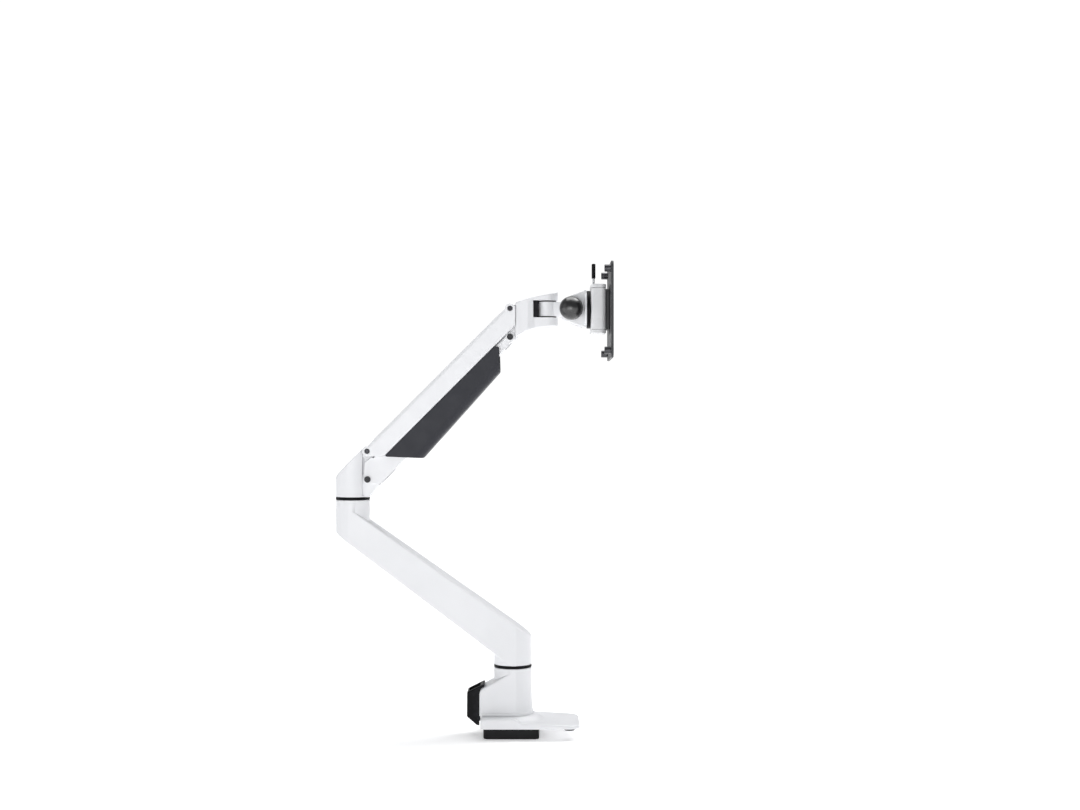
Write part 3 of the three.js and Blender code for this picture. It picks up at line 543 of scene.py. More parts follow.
def make_base():
    low, high = span("base_housing")
    top = high.z
    column = turned("z", [
        (LIP_R - 1.2, low.z), (25.0, low.z), (25.0, low.z + 4), (24.6, low.z + 10), (24.05, low.z + 18),
        (23.65, low.z + 26), (23.5, low.z + 33), (23.5, top - 1.0), (23.2, top - 0.3), (22.5, top)],
        steps=96)
    side = outline([(low.x, 20), (SIDE_END, 20), (SIDE_END, 84.4), (-38.5, 59.8, 2), (low.x, 56)])
    section = [(-25, 20), (25, 20), (24.9, low.z + 4), (24.0, low.z + 18), (23.46, low.z + 33),
               (23.46, 95), (-23.46, 95), (-23.46, low.z + 33), (-24.0, low.z + 18),
               (-24.9, low.z + 4)]
    rear = soften(common(even(side, 40), prism("x", section, low.x, SIDE_END)), 2.6, 5,
                  where=lambda m: m.x < SIDE_END - 0.1)
    lip = soften(prism("z", d_outline(low.x + 1, LIP_R, 3.5), low.z, low.z + 3.6), 0.9, 3,
                 where=lambda m: m.z > low.z + 1)
    body = join(column, rear, lip)
    floor = block(-80, 80, -80, 80, 0, low.z)
    place(cut(body, floor, bore("z", 15.3, low.z - 1, top + 1, rims=(0, 0)),
              bore("z", 19.4, low.z - 1, 33.4, rims=(0, 0))), "base_housing")

    low, high = span("base_spindle")
    place(turned("z", [(18.4, low.z), (19, low.z + 0.6), (19, 32.4), (18.4, 33), (15, 33), (15, 83.8),
                       (14.4, 84.4), (10, 84.4), (10, high.z - 1), (9, high.z), (1, high.z), (1, 52),
                       (5.3, 49), (5.3, low.z)], closed=True), "base_spindle")
    low, high = span("spindle_bolt")
    place(screw("z", (0, 0), (7.6, low.z, 21.7), (5, high.z), 4.2, 4.6), "spindle_bolt")
    for node in ("base_washer", "hub_bush"):
        low, high = span(node)
        inner = {"base_washer": 10.4, "hub_bush": 10.3}[node]
        place(hoop("z", inner, high.x, low.z, high.z, steps=96), node)

    low, high = span("rear_cable_cover")
    back = high.x
    side = outline([(-41.3, low.z), (-41.3, 56.4), (-39.2, 60.2), (back, 62.4), (back, high.z, 1.2),
                    (low.x + 0.4, 55.3, 2.5), (low.x + 0.2, 25, 2.5), (-44.5, low.z)])
    plan = square(low.x, -20, low.y, high.y, 0)
    shell = common(even(side, 30), prism("z", plan, 0, 90))
    soften(shell, 2.2, 5, where=lambda m: m.x < -45 and abs(m.y) > high.y - 0.1)
    place(cut(shell, block(-54.6, -40.3, -13, 13, 5, 95)), "rear_cable_cover")


# ---------------------------------------------------------------- lower arm

ARM_EDGE = 2.2
ARM_TOP_AT_AXIS = 141.5
ARM_TOP_SLOPE = 0.703
ARM_BOTTOM_AT_AXIS = 86.5
ARM_BOTTOM_SLOPE = 0.752
DUCT_ENDS = (-172, -32)
DUCT_DEPTH = 38


def arm_top(x):
    return ARM_TOP_AT_AXIS - ARM_TOP_SLOPE * x


def arm_bottom(x):
    return ARM_BOTTOM_AT_AXIS - ARM_BOTTOM_SLOPE * x


def make_lower_arm():
    low, high = span("lower_arm_beam")
    hub_r = high.x
    elbow_r = ELBOW.x - low.x
    hub = common(rod("z", hub_r, low.z, 170, steps=96), even([
        (-30, low.z - 5), (30, low.z - 5), (30, arm_top(30)), (-30, arm_top(-30))], 40))
    soften(hub, ARM_EDGE, 5, where=lambda m: m.z > low.z + 5)
    soften(hub, 0.9, 3, where=lambda m: m.z < low.z + 1)
    elbow = common(rod("z", elbow_r, 200, high.z, (ELBOW.x, 0), steps=96), even([
        (-240, arm_bottom(-240)), (-160, arm_bottom(-160)),
        (-160, high.z + 5), (-240, high.z + 5)], 40))
    soften(elbow, ARM_EDGE, 5, where=lambda m: m.z < high.z - 5)
    soften(elbow, 0.9, 3, where=lambda m: m.z > high.z - 1)
    near, far = SIDE_END, ELBOW.x - 3
    start = (low.z + 0.03 - ARM_BOTTOM_AT_AXIS) / -ARM_BOTTOM_SLOPE
    side = [(near, low.z + 0.03), (near, arm_top(near)), (far, arm_top(far)), (far, arm_bottom(far)),
            (start, low.z + 0.03)]
    wide, slim = hub_r - 0.06, elbow_r - 0.06
    plan = [(near, -wide), (near, wide), (0, wide), (ELBOW.x, slim), (far, slim), (far, -slim),
            (ELBOW.x, -slim), (0, -wide)]
    beam = soften(common(even(side, 40), prism("z", plan, 50, 320)), ARM_EDGE, 5,
                  where=lambda m: far + 1 < m.x < near - 1 and m.z > low.z + 1)
    clips = [span(f"cable_clip_{i}") for i in (1, 2)]
    half = clips[0][1].y + 0.3
    back, front = DUCT_ENDS
    duct = even(outline([
        (back, arm_bottom(back) - 8), (front, arm_bottom(front) - 8),
        (front, arm_bottom(front) + DUCT_DEPTH, 4), (back, arm_bottom(back) + DUCT_DEPTH, 4)]), half)
    body = cut(join(beam, hub, elbow), duct, bore("z", 13.3, low.z - 1, 119, rims=(0, 0)),
               bore("z", 12.3, 258, high.z + 1, (ELBOW.x, 0), rims=(0, 0)))
    place(body, "lower_arm_beam")

    for i, (a, b) in enumerate(clips):
        shape = [(a.x, arm_bottom(a.x) + 0.6), (b.x, arm_bottom(b.x) + 0.6),
                 (b.x, arm_bottom(b.x) + 4.2), (a.x, arm_bottom(a.x) + 4.2)]
        place(soften(even(shape, b.y), 0.7, 3), f"cable_clip_{i + 1}")
    low, high = span("elbow_bush")
    place(hoop("z", 9.3, (high.x - low.x) / 2, low.z, high.z, (ELBOW.x, 0)), "elbow_bush")
    low, high = span("elbow_washer")
    place(hoop("z", 9.4, elbow_r, low.z, high.z, (ELBOW.x, 0), steps=96), "elbow_washer")


# ---------------------------------------------------------------- elbow bracket and pivots

PIN_BORE = 3.3
LUG_EYE = 6
LUG_HALF = 13.5
FLUSH_A = 13.46
FLUSH_B = 13.43
ELBOW_BRACKET_R = 21.25


def across(centre):
    return (centre.x, centre.z)


def pin(node, centre, radius, socket):
    """A plain pivot pin across the arm, chamfered, with a hex socket at its near end."""
    low, high = span(node)
    body = rod("y", radius, low.y, high.y, across(centre), soft=0.5, steps=48)
    mouth = turned("y", [(socket + 1.0, low.y - 1), (socket - 0.3, low.y + 0.3)], across(centre), 24)
    hollow = hexagon("y", socket, low.y - 1, low.y + 1.4, across(centre))
    place(cut(body, hollow, mouth), node)


def headed_pin(node, centre, radius, head_r, shank_end, socket):
    """A pivot pin with a rounded head on each side of the links."""
    low, high = span(node)
    at = across(centre)
    body = rod("y", radius, low.y + 0.5, high.y - 0.5, at, steps=48)
    near = rod("y", head_r, low.y, -shank_end, at, soft=0.5, steps=48)
    far = rod("y", head_r, shank_end, high.y, at, soft=0.5, steps=48)
    obj = cut(join(body, near, far), hexagon("y", socket, low.y - 1, low.y + 1.0, at),
              turned("y", [(socket + 1.0, low.y - 1), (socket - 0.3, low.y + 0.3)], at, 24))
    place(obj, node)
    obj.data.materials.append(LOOKS["charcoal_steel"])
    for face in obj.data.polygons:
        from_axis = math.hypot(face.center.x / MM - centre.x, face.center.z / MM - centre.z)
        if from_axis < socket * 0.8 and face.center.y / MM < low.y + 1.2:
            face.material_index = 1


def make_elbow():
    low, high = span("elbow_bracket")
    left = ELBOW.x - ELBOW_BRACKET_R
    flat = PIVOT_A.x - 6.7
    column = common(rod("z", ELBOW_BRACKET_R, low.z, 380, (ELBOW.x, 0), steps=96), even([
        (left - 1, low.z - 3), (ELBOW.x + 23, low.z - 3), (ELBOW.x + 23, 299), (flat, 299),
        (flat, 356.8), (left - 1, 321)], 40))
    soften(column, 2.0, 5, where=lambda m: m.z > 305 and m.x < flat - 0.5)
    soften(column, 0.9, 3, where=lambda m: m.z < low.z + 0.5)
    lug = soften(even(outline([
        (-190, low.z), (-178.8, low.z), (-165.3, 312.4, 1.5), (-174, 322), (-174, PIVOT_A.z),
        (-186, PIVOT_A.z), (-190, 348)]), LUG_HALF), 0.8, 3,
        where=lambda m: m.z > low.z + 1 and m.x > -189)
    eyes = [rod("y", LUG_EYE, -FLUSH_A, FLUSH_A, across(PIVOT_A), soft=0.8),
            rod("y", LUG_EYE, -FLUSH_B, FLUSH_B, across(PIVOT_B), soft=0.8)]
    grooves = [block(flat, flat + 2.9, *ends, 325, 347) for ends in ((10.8, 21), (-21, -10.8))]
    slot = even(outline([(-191, 327, 3), (-160, 327), (-160, 375), (-191, 375)]), 9.3)
    base_pin = (PIVOT_A.x, (span("spring_base_pin")[0].z + span("spring_base_pin")[1].z) / 2)
    bracket = cut(join(column, lug, *eyes), slot, *grooves,
                  bore("y", PIN_BORE, -LUG_HALF, LUG_HALF, across(PIVOT_A)),
                  bore("y", PIN_BORE, -LUG_HALF, LUG_HALF, across(PIVOT_B)),
                  bore("y", 2.8, -LUG_HALF, LUG_HALF, base_pin),
                  bore("z", 9.3, low.z - 1, 320, (ELBOW.x, 0), rims=(0, 0)))
    place(bracket, "elbow_bracket")
    low, high = span("elbow_post")
    place(rod("z", 9, low.z, high.z, (ELBOW.x, 0), soft=0.8), "elbow_post")
    low, high = span("spring_base_pin")
    place(rod("y", 2.5, low.y, high.y, base_pin, soft=0.4, steps=48), "spring_base_pin")


def make_pivots():
    for letter, centre in (("a", PIVOT_A), ("c", PIVOT_C)):
        pin(f"pivot_pin_{letter}", centre, 3, 1.9)
        for i in (1, 2):
            node = f"pivot_spacer_{letter}_{i}"
            low, high = span(node)
            place(hoop("y", 3.3, 5.8, low.y, high.y, across(centre), steps=48), node)
    headed_pin("pivot_pin_b", PIVOT_B, 3, 4, 16.9, 2.3)
    headed_pin("pivot_pin_d", PIVOT_D, 3, 4, 16.9, 2.3)


# ---------------------------------------------------------------- upper arm, drawn along its own +X

SHELL = {"inner": 18.5, "outer": 21.0, "above": 5.0, "below": 19.0, "eye": 6.4, "roof": 2.5,
         "corner": 5.0}
COVER = {"inner": 18.6, "outer": 20.6, "corner": 12.0, "inner_corner": 8.0, "wall": 2.0, "depth": 57.3,
         "taper": 0.0568}


def make_upper_arm():
    reach = SHELL["eye"] * math.sqrt(0.5)
    slope = SHELL["below"] - reach
    outer, inner, above, below = (SHELL[k] for k in ("outer", "inner", "above", "below"))
    side = outline([
        (-reach, -reach), (slope - reach, -below, 1), (LINK - slope + reach, -below, 1),
        (LINK + reach, -reach), (LINK + 1.5, above), (-1.5, above)])
    section = outline([(-outer, -30), (outer, -30), (outer, above, SHELL["corner"]),
                       (-outer, above, SHELL["corner"])])
    body = common(even(side, 40), prism("x", section, -10, LINK + 10))
    soften(body, 0.7, 3, where=lambda m: m.z < above - 6)
    eyes = [rod("y", SHELL["eye"], -outer, outer, (x, 0), soft=0.8, steps=72) for x in (0, LINK)]
    hollow = soften(block(-20, LINK + 20, -inner, inner, -40, SHELL["roof"]), 2.5, 4,
                    where=lambda m: m.z > 0)
    ends = [block(-20, 13, -inner, inner, -40, 20), block(LINK - 13, LINK + 20, -inner, inner, -40, 20)]
    low, high = span("spring_top_pin")
    top_pin = UPPER_FRAME.inverted() @ ((low + high) / 2)
    shell = cut(join(body, *eyes), hollow, *ends,
                bore("y", PIN_BORE, -outer, outer, (0, 0)),
                bore("y", PIN_BORE, -outer, outer, (LINK, 0)),
                bore("y", PIN_BORE, -20, 20, across(top_pin), rims=(0, 0)))
    place(shell, "upper_arm_shell", UPPER_FRAME)
    place(rod("y", 3, low.y, high.y, across(top_pin), soft=0.5, steps=48),
          "spring_top_pin", UPPER_FRAME)

    edge = -below - 0.3
    wide, corner, wall, slim = (COVER[k] for k in ("outer", "corner", "wall", "inner"))
    tilt = (Matrix.Translation((0, 0, -COVER["depth"])) @ Matrix.Rotation(-COVER["taper"], 4, "Y"))
    skin = prism("x", outline([(-wide, 0, corner), (wide, 0, corner), (wide, 80), (-wide, 80)], 12),
                 -20, LINK)
    skin.data.transform(tilt)
    side = outline([(10, edge, 1.5), (43.6, -56), (44, -70), (184, -70), (185.6, -46.8),
                    (206.8, -24, 3), (203.5, edge, 1)])
    cover = soften(common(skin, even(side, 40)), 0.9, 3)
    inside = COVER["inner_corner"]
    core = prism("x", outline([(-slim, wall, inside), (slim, wall, inside),
                               (slim, 90), (-slim, 90)], 12), -25, LINK + 5)
    core.data.transform(tilt)
    place(cut(cover, core), "upper_cable_cover", UPPER_FRAME)


def make_gas_spring():
    way = Vector(JOINTS["spring_stroke"]["axis"]).normalized()
    low, high = span("spring_base_pin")
    base = (low + high) / 2
    length = (SPRING_TOP - base).length
    local = Matrix(((-way.x, 0, way.z, SPRING_TOP.x), (0, 1, 0, 0), (-way.z, 0, -way.x, SPRING_TOP.z),
                    (0, 0, 0, 1)))
    barrel = turned("x", [(6.4, 12), (7.6, 12.6), (8.5, 14), (8.5, 117), (8.1, 118.2), (8.1, 119.4),
                          (8.5, 120.6), (8.5, 124), (7.4, 125.6), (5.6, 126)], steps=64)
    lug = soften(join(rod("y", 7, -8, 8), block(0, 16, -6, 6, -6, 6)), 0.7, 3, where=lambda m: m.x < 11)
    tube = cut(join(barrel, lug), bore("y", PIN_BORE, -8, 8), bore("x", 7, 22, 120, rims=(0, 0)),
               bore("x", 4.3, 100, 126, rims=(0, 0.4)))
    place(tube, "gas_spring_tube", local)
    shaft = turned("x", [(6.4, 74), (6.7, 74.4), (6.7, 81.6), (6.4, 82), (4, 82),
                         (4, length - 5.5)], steps=48)
    eye = rod("y", 7.6, -4, 4, (length, 0), soft=0.7)
    place(cut(join(shaft, eye), bore("y", 5, -4, 4, (length, 0))), "gas_spring_rod", local)


def make_lower_link():
    low_eye, high_eye, heel, inner = 5.2, 6.0, 15.0, 14.0
    half = span("lower_link")[1].y
    reach = low_eye * math.sqrt(0.5)
    side = outline([
        *arc((0, 0), low_eye, 135, 225), (heel - 2 * reach, -heel, 2), (45, -heel), (75, -13),
        (190, -7.2), *arc((LINK, 0), high_eye, -90, 145), (62, 4), (46, 9), (24, 14),
        (22.6, 16.6, 1), (12.8, 17.3, 1)])
    body = soften(even(side, half), 0.8, 3)
    floor = 2.5
    channel = [
        even([(-20, -30), (32, -30), (32, 30), (-20, 30)], inner),
        even([(235, -30), (280, -30), (280, 30), (235, 30)], inner),
        even([(30, 30), (30, -heel + floor), (45, -heel + floor), (75, -10.5), (190, -4.7), (240, -4),
              (240, 30)], inner)]
    place(cut(body, *channel, bore("y", PIN_BORE, -half, half),
              bore("y", PIN_BORE, -half, half, (LINK, 0))), "lower_link", LOWER_FRAME)


# ---------------------------------------------------------------- head

SLOT_BACK = 25.2
BUSH_SEAT_R = 12.4
WASHER_GAP = 0.1


def make_head():
    low, high = span("head_bracket")
    left = PIVOT_C.x + 6.7
    washer_low = span("swivel_washer_lower")[0].z - 0.3
    washer_high = span("swivel_washer_upper")[1].z + 0.3
    ear = 13.4
    tip = PAN.x + ear
    under = bezier((left, 495), (14, 503), (24, 508.8), (tip + 2, 509.7))
    over = bezier((tip + 2, 554.0), (42, 547.6), (26, 548.2), (left, 538.6))
    plan = outline([
        (left, -17), (19, -17, 6), (27, -ear, 6), (tip, -ear, ear - 0.2), (tip, ear, ear - 0.2),
        (27, ear, 6), (19, 17, 6), (left, 17)], 14)
    body = common(even(under + over, 40), prism("z", plan, 470, 580))
    soften(body, 1.7, 4, where=lambda m: m.x > left + 0.5)
    soften(body, 0.7, 3, where=lambda m: m.x < left + 0.5)
    cut(body, block(SLOT_BACK, 90, -40, 40, washer_low, washer_high))
    soften(body, 0.7, 3, where=lambda m: m.x > SLOT_BACK - 1 and (
        abs(m.z - washer_low) < 0.05 or abs(m.z - washer_high) < 0.05))
    lug = soften(even(outline([
        (-7.5, 528), (-7.5, 498), (0, 490), (6, 493), (6, 535.4), (-3, 536.7)]), LUG_HALF),
        0.8, 3, where=lambda m: m.x < 5)
    eyes = [rod("y", LUG_EYE, -FLUSH_A, FLUSH_A, across(PIVOT_C), soft=0.8),
            rod("y", LUG_EYE, -FLUSH_B, FLUSH_B, across(PIVOT_D), soft=0.8)]
    bracket = cut(join(body, lug, *eyes), bore("z", 4.3, 480, 600, (PAN.x, 0), rims=(0, 0)),
                  bore("y", PIN_BORE, -LUG_HALF, LUG_HALF, across(PIVOT_C)),
                  bore("y", PIN_BORE, -LUG_HALF, LUG_HALF, across(PIVOT_D)))
    place(bracket, "head_bracket")
    # The pan bush is a black seat at the back of the swivel slot; its dark colour also stands in for
    # the shade deep in the slot, as painted shade.
    low, high = span("pan_bush")
    seat = soften(block(low.x, high.x, low.y, high.y, low.z, high.z), 0.4, 2)
    place(cut(seat, rod("z", BUSH_SEAT_R, low.z - 1, high.z + 1, (PAN.x, 0))), "pan_bush")
    low, high = span("swivel_pin")
    place(screw("z", (PAN.x, 0), (4, high.z, high.z - 4), (3.9, low.z), 2.0, 2.5), "swivel_pin")
    for node in ("swivel_washer_lower", "swivel_washer_upper"):
        low, high = span(node)
        place(hoop("z", 4.4, 11.5, low.z, high.z, (PAN.x, 0), soft=0.25), node)

    low, high = span("swivel_block")
    bottom = span("swivel_washer_lower")[1].z + WASHER_GAP
    top = span("swivel_washer_upper")[0].z - WASHER_GAP
    disc = rod("z", PAN.x - low.x, bottom, top, (PAN.x, 0), soft=0.9)
    neck = soften(block(PAN.x - 1, TILT.x - 4, -8.96, 8.96, bottom + 0.03, top - 0.03), 0.9, 3,
                  where=lambda m: abs(m.y) > 8)
    eye = rod("y", 10.5, -9, 9, across(TILT), soft=0.9)
    place(cut(join(disc, neck, eye), bore("z", 4.3, bottom, top, (PAN.x, 0)),
              bore("y", 4.3, -9, 9, across(TILT))), "swivel_block")


def make_tilt():
    low, high = span("tilt_bracket")
    flange_r = (high.z - low.z) / 2
    cheek_r, outer, inner, flange = 15.6, 14.5, 9.4, 89
    wedge = even([
        (TILT.x - 2, TILT.z - cheek_r - 0.6), (high.x - 0.5, TILT.z - flange_r + 0.4),
        (high.x - 0.5, TILT.z + flange_r - 0.4), (TILT.x - 2, TILT.z + cheek_r + 0.6)], outer)
    soften(wedge, 1.3, 4, where=lambda m: TILT.x - 1 < m.x < high.x - 1)
    cheek = rod("y", cheek_r, -outer, outer, across(TILT), soft=1.3, steps=96)
    gap = soften(block(40, 87.5, -inner, inner, TILT.z - 40, TILT.z + 40), 2.0, 4,
                 where=lambda m: m.x > 80)
    disc = rod("x", flange_r, flange, high.x, (0, TILT.z), soft=0.6, steps=96)
    bracket = cut(join(wedge, cheek), gap)
    place(cut(join(bracket, disc), bore("y", 4.3, -outer, outer, across(TILT)),
              bore("x", 5.3, 80, 95, (0, TILT.z), rims=(0, 0))), "tilt_bracket")

    low, high = span("tilt_bolt")
    place(rod("y", 4, low.y, high.y, across(TILT), soft=0.8, steps=48), "tilt_bolt")
    low, high = span("tilt_nut")
    nut = common(hexagon("y", 7.5, low.y, high.y, across(TILT), TAU / 12),
                 turned("y", [(6.3, low.y), (7.6, low.y + 1.1), (7.6, high.y - 1.1), (6.3, high.y)],
                        across(TILT)))
    place(cut(nut, bore("y", 4.3, low.y, high.y, across(TILT), rims=(0.5, 0.5))), "tilt_nut")

    low, high = span("tilt_knob")
    r = (high.z - low.z) / 2
    centre = low.y + r
    neck = high.y
    start = math.acos((neck - 1.6 - centre) / r)
    ball = [(r * math.sin(a), centre + r * math.cos(a))
            for a in (math.pi + (start - math.pi) * i / 40 for i in range(41))]
    ball[0] = (0.02, low.y)
    rim = ball[-1][0]
    knob = turned("y", ball + [(rim - 0.6, neck - 0.6), (rim - 1.4, neck)], across(TILT), 96)
    place(cut(knob, bore("y", 4.3, -25.4, neck + 1, across(TILT), rims=(0, 0))), "tilt_knob")

    low, high = span("rotation_bolt")
    place(screw("x", (0, TURN.z), (7.4, low.x, 87.2), (5, high.x), 3, 1.8), "rotation_bolt")
    low, high = span("rotation_washer")
    place(hoop("x", 5.3, (high.z - low.z) / 2, low.x, high.x, (0, TURN.z), soft=0.5, steps=96),
          "rotation_washer")


def make_receiver():
    low, high = span("receiver_housing")
    plan = outline([(low.x, low.y, 3), (high.x, low.y, 6), (high.x, high.y, 6), (low.x, high.y, 3)])
    latch_low, latch_high = span("latch_plunger")
    latch = ((latch_low.x + latch_high.x) / 2, 0)
    body = soften(prism("z", plan, low.z, high.z), 0.5, 3)
    housing = cut(body,
                  block(98.1, high.x + 1, -9.4, 9.4, TURN.z + 7.6, TURN.z + 14.9),
                  block(107, high.x + 1, -9.4, 9.4, TURN.z - 14.9, TURN.z - 7.6),
                  bore("x", 5.3, 90, 106.4, (0, TURN.z), rims=(0, 0)),
                  bore("z", 1.7, TURN.z + 10, TURN.z + 30, latch, rims=(0, 0)),
                  bore("z", 3.1, TURN.z + 16.6, TURN.z + 30, latch, rims=(0, 0)))
    place(housing, "receiver_housing")
    for node, upward in (("receiver_cap_top", 1), ("receiver_cap_bottom", -1)):
        low, high = span(node)
        cap = prism("z", plan, low.z, high.z)
        outside = high.z if upward > 0 else low.z
        soften(cap, 1.2, 4, where=lambda m: abs(m.z - outside) < 0.1)
        soften(cap, 0.3, 2, where=lambda m: abs(m.z - outside) > 4)
        if upward > 0:
            cut(cap, bore("z", 1.7, low.z - 1, high.z, latch, rims=(0, 0.4)))
        place(cap, node)

    place(join(rod("z", 1.3, latch_low.z, latch_high.z, latch, soft=0.3, steps=32),
               rod("z", 2.8, TURN.z + 17, TURN.z + 18.4, latch, soft=0.3, steps=32)), "latch_plunger")
    low, high = span("latch_grip")
    grip = soften(prism("z", square(low.x, high.x, low.y, high.y, 2), low.z, high.z), 0.9, 4)
    place(cut(grip, bore("z", 1.6, low.z, latch_high.z + 0.3, latch, rims=(0.3, 0), steps=32)),
          "latch_grip")
    make_latch_spring(latch)

    low, high = span("plate_boss")
    face = high.x - 4
    boss = soften(prism("x", square(-20, 20, low.z, high.z, 4), face, high.x), 0.6, 3)
    hooks = [soften(block(low.x, face + 1, -9, 9, TURN.z + 8, TURN.z + 14.5), 0.6, 3),
             soften(block(107.4, face + 1, -9, 9, TURN.z - 14.5, TURN.z - 8), 0.6, 3)]
    places = [(0, TURN.z - 20), (0, TURN.z + 20)]
    tools = [bore("x", 2.1, face + 1, high.x + 1, at, rims=(0, 0)) for at in places]
    pin_hole = bore("z", 1.6, TURN.z + 9.6, TURN.z + 16, latch, rims=(0, 0))
    place(cut(join(boss, *hooks), pin_hole, *tools), "plate_boss")
    make_plate(places)


def make_latch_spring(latch):
    """The coil round the plunger: a wire swept along a helix."""
    low, high = span("latch_spring")
    wire, turns, steps, sides = 0.32, 5, 120, 8
    radius = (high.x - low.x) / 2 - wire
    rings = []
    for i in range(steps + 1):
        t = i / steps
        a = TAU * turns * t
        z = low.z + wire + (high.z - low.z - 2 * wire) * t
        spoke = Vector((math.cos(a), math.sin(a), 0))
        middle = Vector((latch[0], latch[1], z)) + spoke * radius
        rings.append([middle + spoke * wire * math.cos(b) + Vector((0, 0, wire * math.sin(b)))
                      for b in (TAU * k / sides for k in range(sides))])
    coil = place(loft(rings), "latch_spring")
    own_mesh(coil)


def make_plate(screws):
    low, high = span("vesa_plate")
    middle = (low.z + high.z) / 2
    plate = soften(prism("x", square(low.y, high.y, low.z, high.z, 8), low.x, high.x), 0.5, 3)
    tools = []
    for pitch in (75, 100):
        for y in (-pitch / 2, pitch / 2):
            for z in (middle - pitch / 2, middle + pitch / 2):
                tools.append(bore("x", 2.3, low.x, high.x, (y, z), rims=(0.35, 0.35), steps=32))
    for y, z in screws:
        tools.append(turned("x", [(2.1, low.x - 1), (2.1, low.x + 1), (4.2, high.x + 0.2)], (y, z), 40))
    place(cut(plate, *tools), "vesa_plate")
    for i, at in enumerate(screws):
        a, b = span(f"plate_screw_{i + 1}")
        body = turned("x", [(1.3, a.x), (1.8, a.x + 0.5), (1.8, b.x - 2.2), (3.6, b.x - 0.2),
                            (3.5, b.x)], at, 40)
        place(cut(body, hexagon("x", 1.3, b.x - 1.4, b.x + 1, at)), f"plate_screw_{i + 1}")
    for i in range(1, 5):
        a, b = span(f"monitor_screw_{i}")
        at = ((a.y + b.y) / 2, (a.z + b.z) / 2)
        place(screw("x", at, (4.4, a.x, low.x - 0.3), (1.95, b.x), 1.7, 2.4), f"monitor_screw_{i}")


# ---------------------------------------------------------------- stage, camera and lights

FLOOR_GLOW = (0.34, 1.0)
ROOM_LIGHT = 0.24
GLOW_REACH = (0.3, 2.6)
FLOOR_RADIUS = 60
BACKDROP_LIGHT = 1.05
LIGHTS_AIM = (-30, 0, 330)


def make_stage():
    """A wide pale floor, which glows towards its rim so that it runs into the background."""
    material = bpy.data.materials.new("stage")
    material.use_nodes = True
    nodes, links = material.node_tree.nodes, material.node_tree.links
    shader = nodes["Principled BSDF"]
    shader.inputs["Base Color"].default_value = (0.93, 0.93, 0.935, 1)
    shader.inputs["Roughness"].default_value = 0.9
    shader.inputs["Emission Color"].default_value = (1, 1, 1, 1)
    away = nodes.new("ShaderNodeVectorMath")
    away.operation = "LENGTH"
    links.new(nodes.new("ShaderNodeTexCoord").outputs["Object"], away.inputs[0])
    glow = nodes.new("ShaderNodeMapRange")
    glow.interpolation_type = "SMOOTHSTEP"
    glow.inputs["From Min"].default_value = GLOW_REACH[0]
    glow.inputs["From Max"].default_value = GLOW_REACH[1]
    glow.inputs["To Min"].default_value = FLOOR_GLOW[0]
    glow.inputs["To Max"].default_value = FLOOR_GLOW[1]
    links.new(away.outputs["Value"], glow.inputs["Value"])
    links.new(glow.outputs["Result"], shader.inputs["Emission Strength"])
    bm = bmesh.new()
    bmesh.ops.create_circle(bm, cap_ends=True, segments=128, radius=FLOOR_RADIUS)
    mesh = bpy.data.meshes.new("floor")
    bm.to_mesh(mesh)
    bm.free()
    floor = bpy.data.objects.new("floor", mesh)
    floor.location.z = cad_box[0][2]
    mesh.materials.append(material)
    bpy.context.scene.collection.objects.link(floor)


def area_light(name, place_mm, aim_mm, size, power):
    data = bpy.data.lights.new(name, "AREA")
    data.shape = "RECTANGLE"
    data.size, data.size_y = size
    data.energy = power
    light = bpy.data.objects.new(name, data)
    light.location = Vector(place_mm) * MM
    light.rotation_euler = (Vector(aim_mm) - Vector(place_mm)).to_track_quat("-Z", "Y").to_euler()
    bpy.context.scene.collection.objects.link(light)


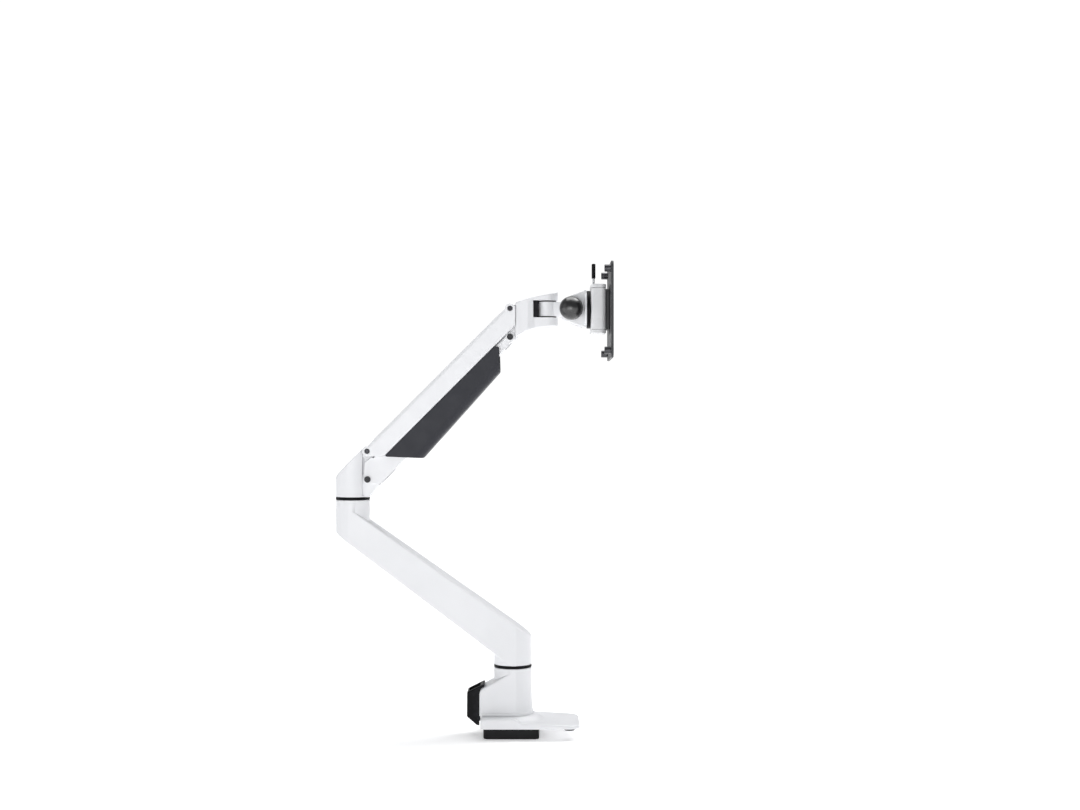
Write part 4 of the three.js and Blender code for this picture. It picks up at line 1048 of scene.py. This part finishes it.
def make_lights():
    world = bpy.data.worlds.new("studio")
    world.use_nodes = True
    nodes, links = world.node_tree.nodes, world.node_tree.links
    backdrop = nodes["Background"]
    backdrop.inputs["Color"].default_value = (1, 1, 1, 1)
    backdrop.inputs["Strength"].default_value = BACKDROP_LIGHT
    room = nodes.new("ShaderNodeBackground")
    room.inputs["Color"].default_value = (0.96, 0.98, 1.0, 1)
    room.inputs["Strength"].default_value = ROOM_LIGHT
    seen = nodes.new("ShaderNodeMixShader")
    links.new(nodes.new("ShaderNodeLightPath").outputs["Is Camera Ray"], seen.inputs["Fac"])
    links.new(room.outputs[0], seen.inputs[1])
    links.new(backdrop.outputs[0], seen.inputs[2])
    links.new(seen.outputs[0], nodes["World Output"].inputs["Surface"])
    bpy.context.scene.world = world
    area_light("front", (-100, -2300, 300), LIGHTS_AIM, (0.6, 0.8), 6.5)
    area_light("front_left", (-900, -2050, 60), LIGHTS_AIM, (1.2, 1.6), 12.6)
    area_light("left", (-1900, -500, 900), LIGHTS_AIM, (1.0, 1.8), 2.9)
    area_light("top", (100, 500, 2300), LIGHTS_AIM, (2.0, 1.6), 35)
    area_light("right", (1300, 700, 2000), LIGHTS_AIM, (1.4, 1.4), 26)
    area_light("back", (-900, 2100, 900), LIGHTS_AIM, (1.4, 1.6), 5)


SENSOR_WIDTH = 36
FRAME_WIDTH = 1080
FOCAL_LENGTH = 1536
RAISED_BY = 22
CAMERA_AT = (33.9, -1920, 384)


def make_camera():
    """The focal length and the shift are given in parts of the frame's width."""
    data = bpy.data.cameras.new("camera")
    data.sensor_width = SENSOR_WIDTH
    data.lens = SENSOR_WIDTH * FOCAL_LENGTH / FRAME_WIDTH
    data.shift_y = RAISED_BY / FRAME_WIDTH
    data.clip_end = 50
    camera = bpy.data.objects.new("camera", data)
    camera.location = Vector(CAMERA_AT) * MM
    camera.rotation_euler = (math.radians(90), 0, 0)
    bpy.context.scene.collection.objects.link(camera)
    bpy.context.scene.camera = camera


make_camera()
make_stage()
make_lights()
make_foot()
make_base()
make_lower_arm()
make_elbow()
make_pivots()
make_upper_arm()
make_gas_spring()
make_lower_link()
make_head()
make_tilt()
make_receiver()
bpy.context.scene.view_settings.view_transform = "Standard"
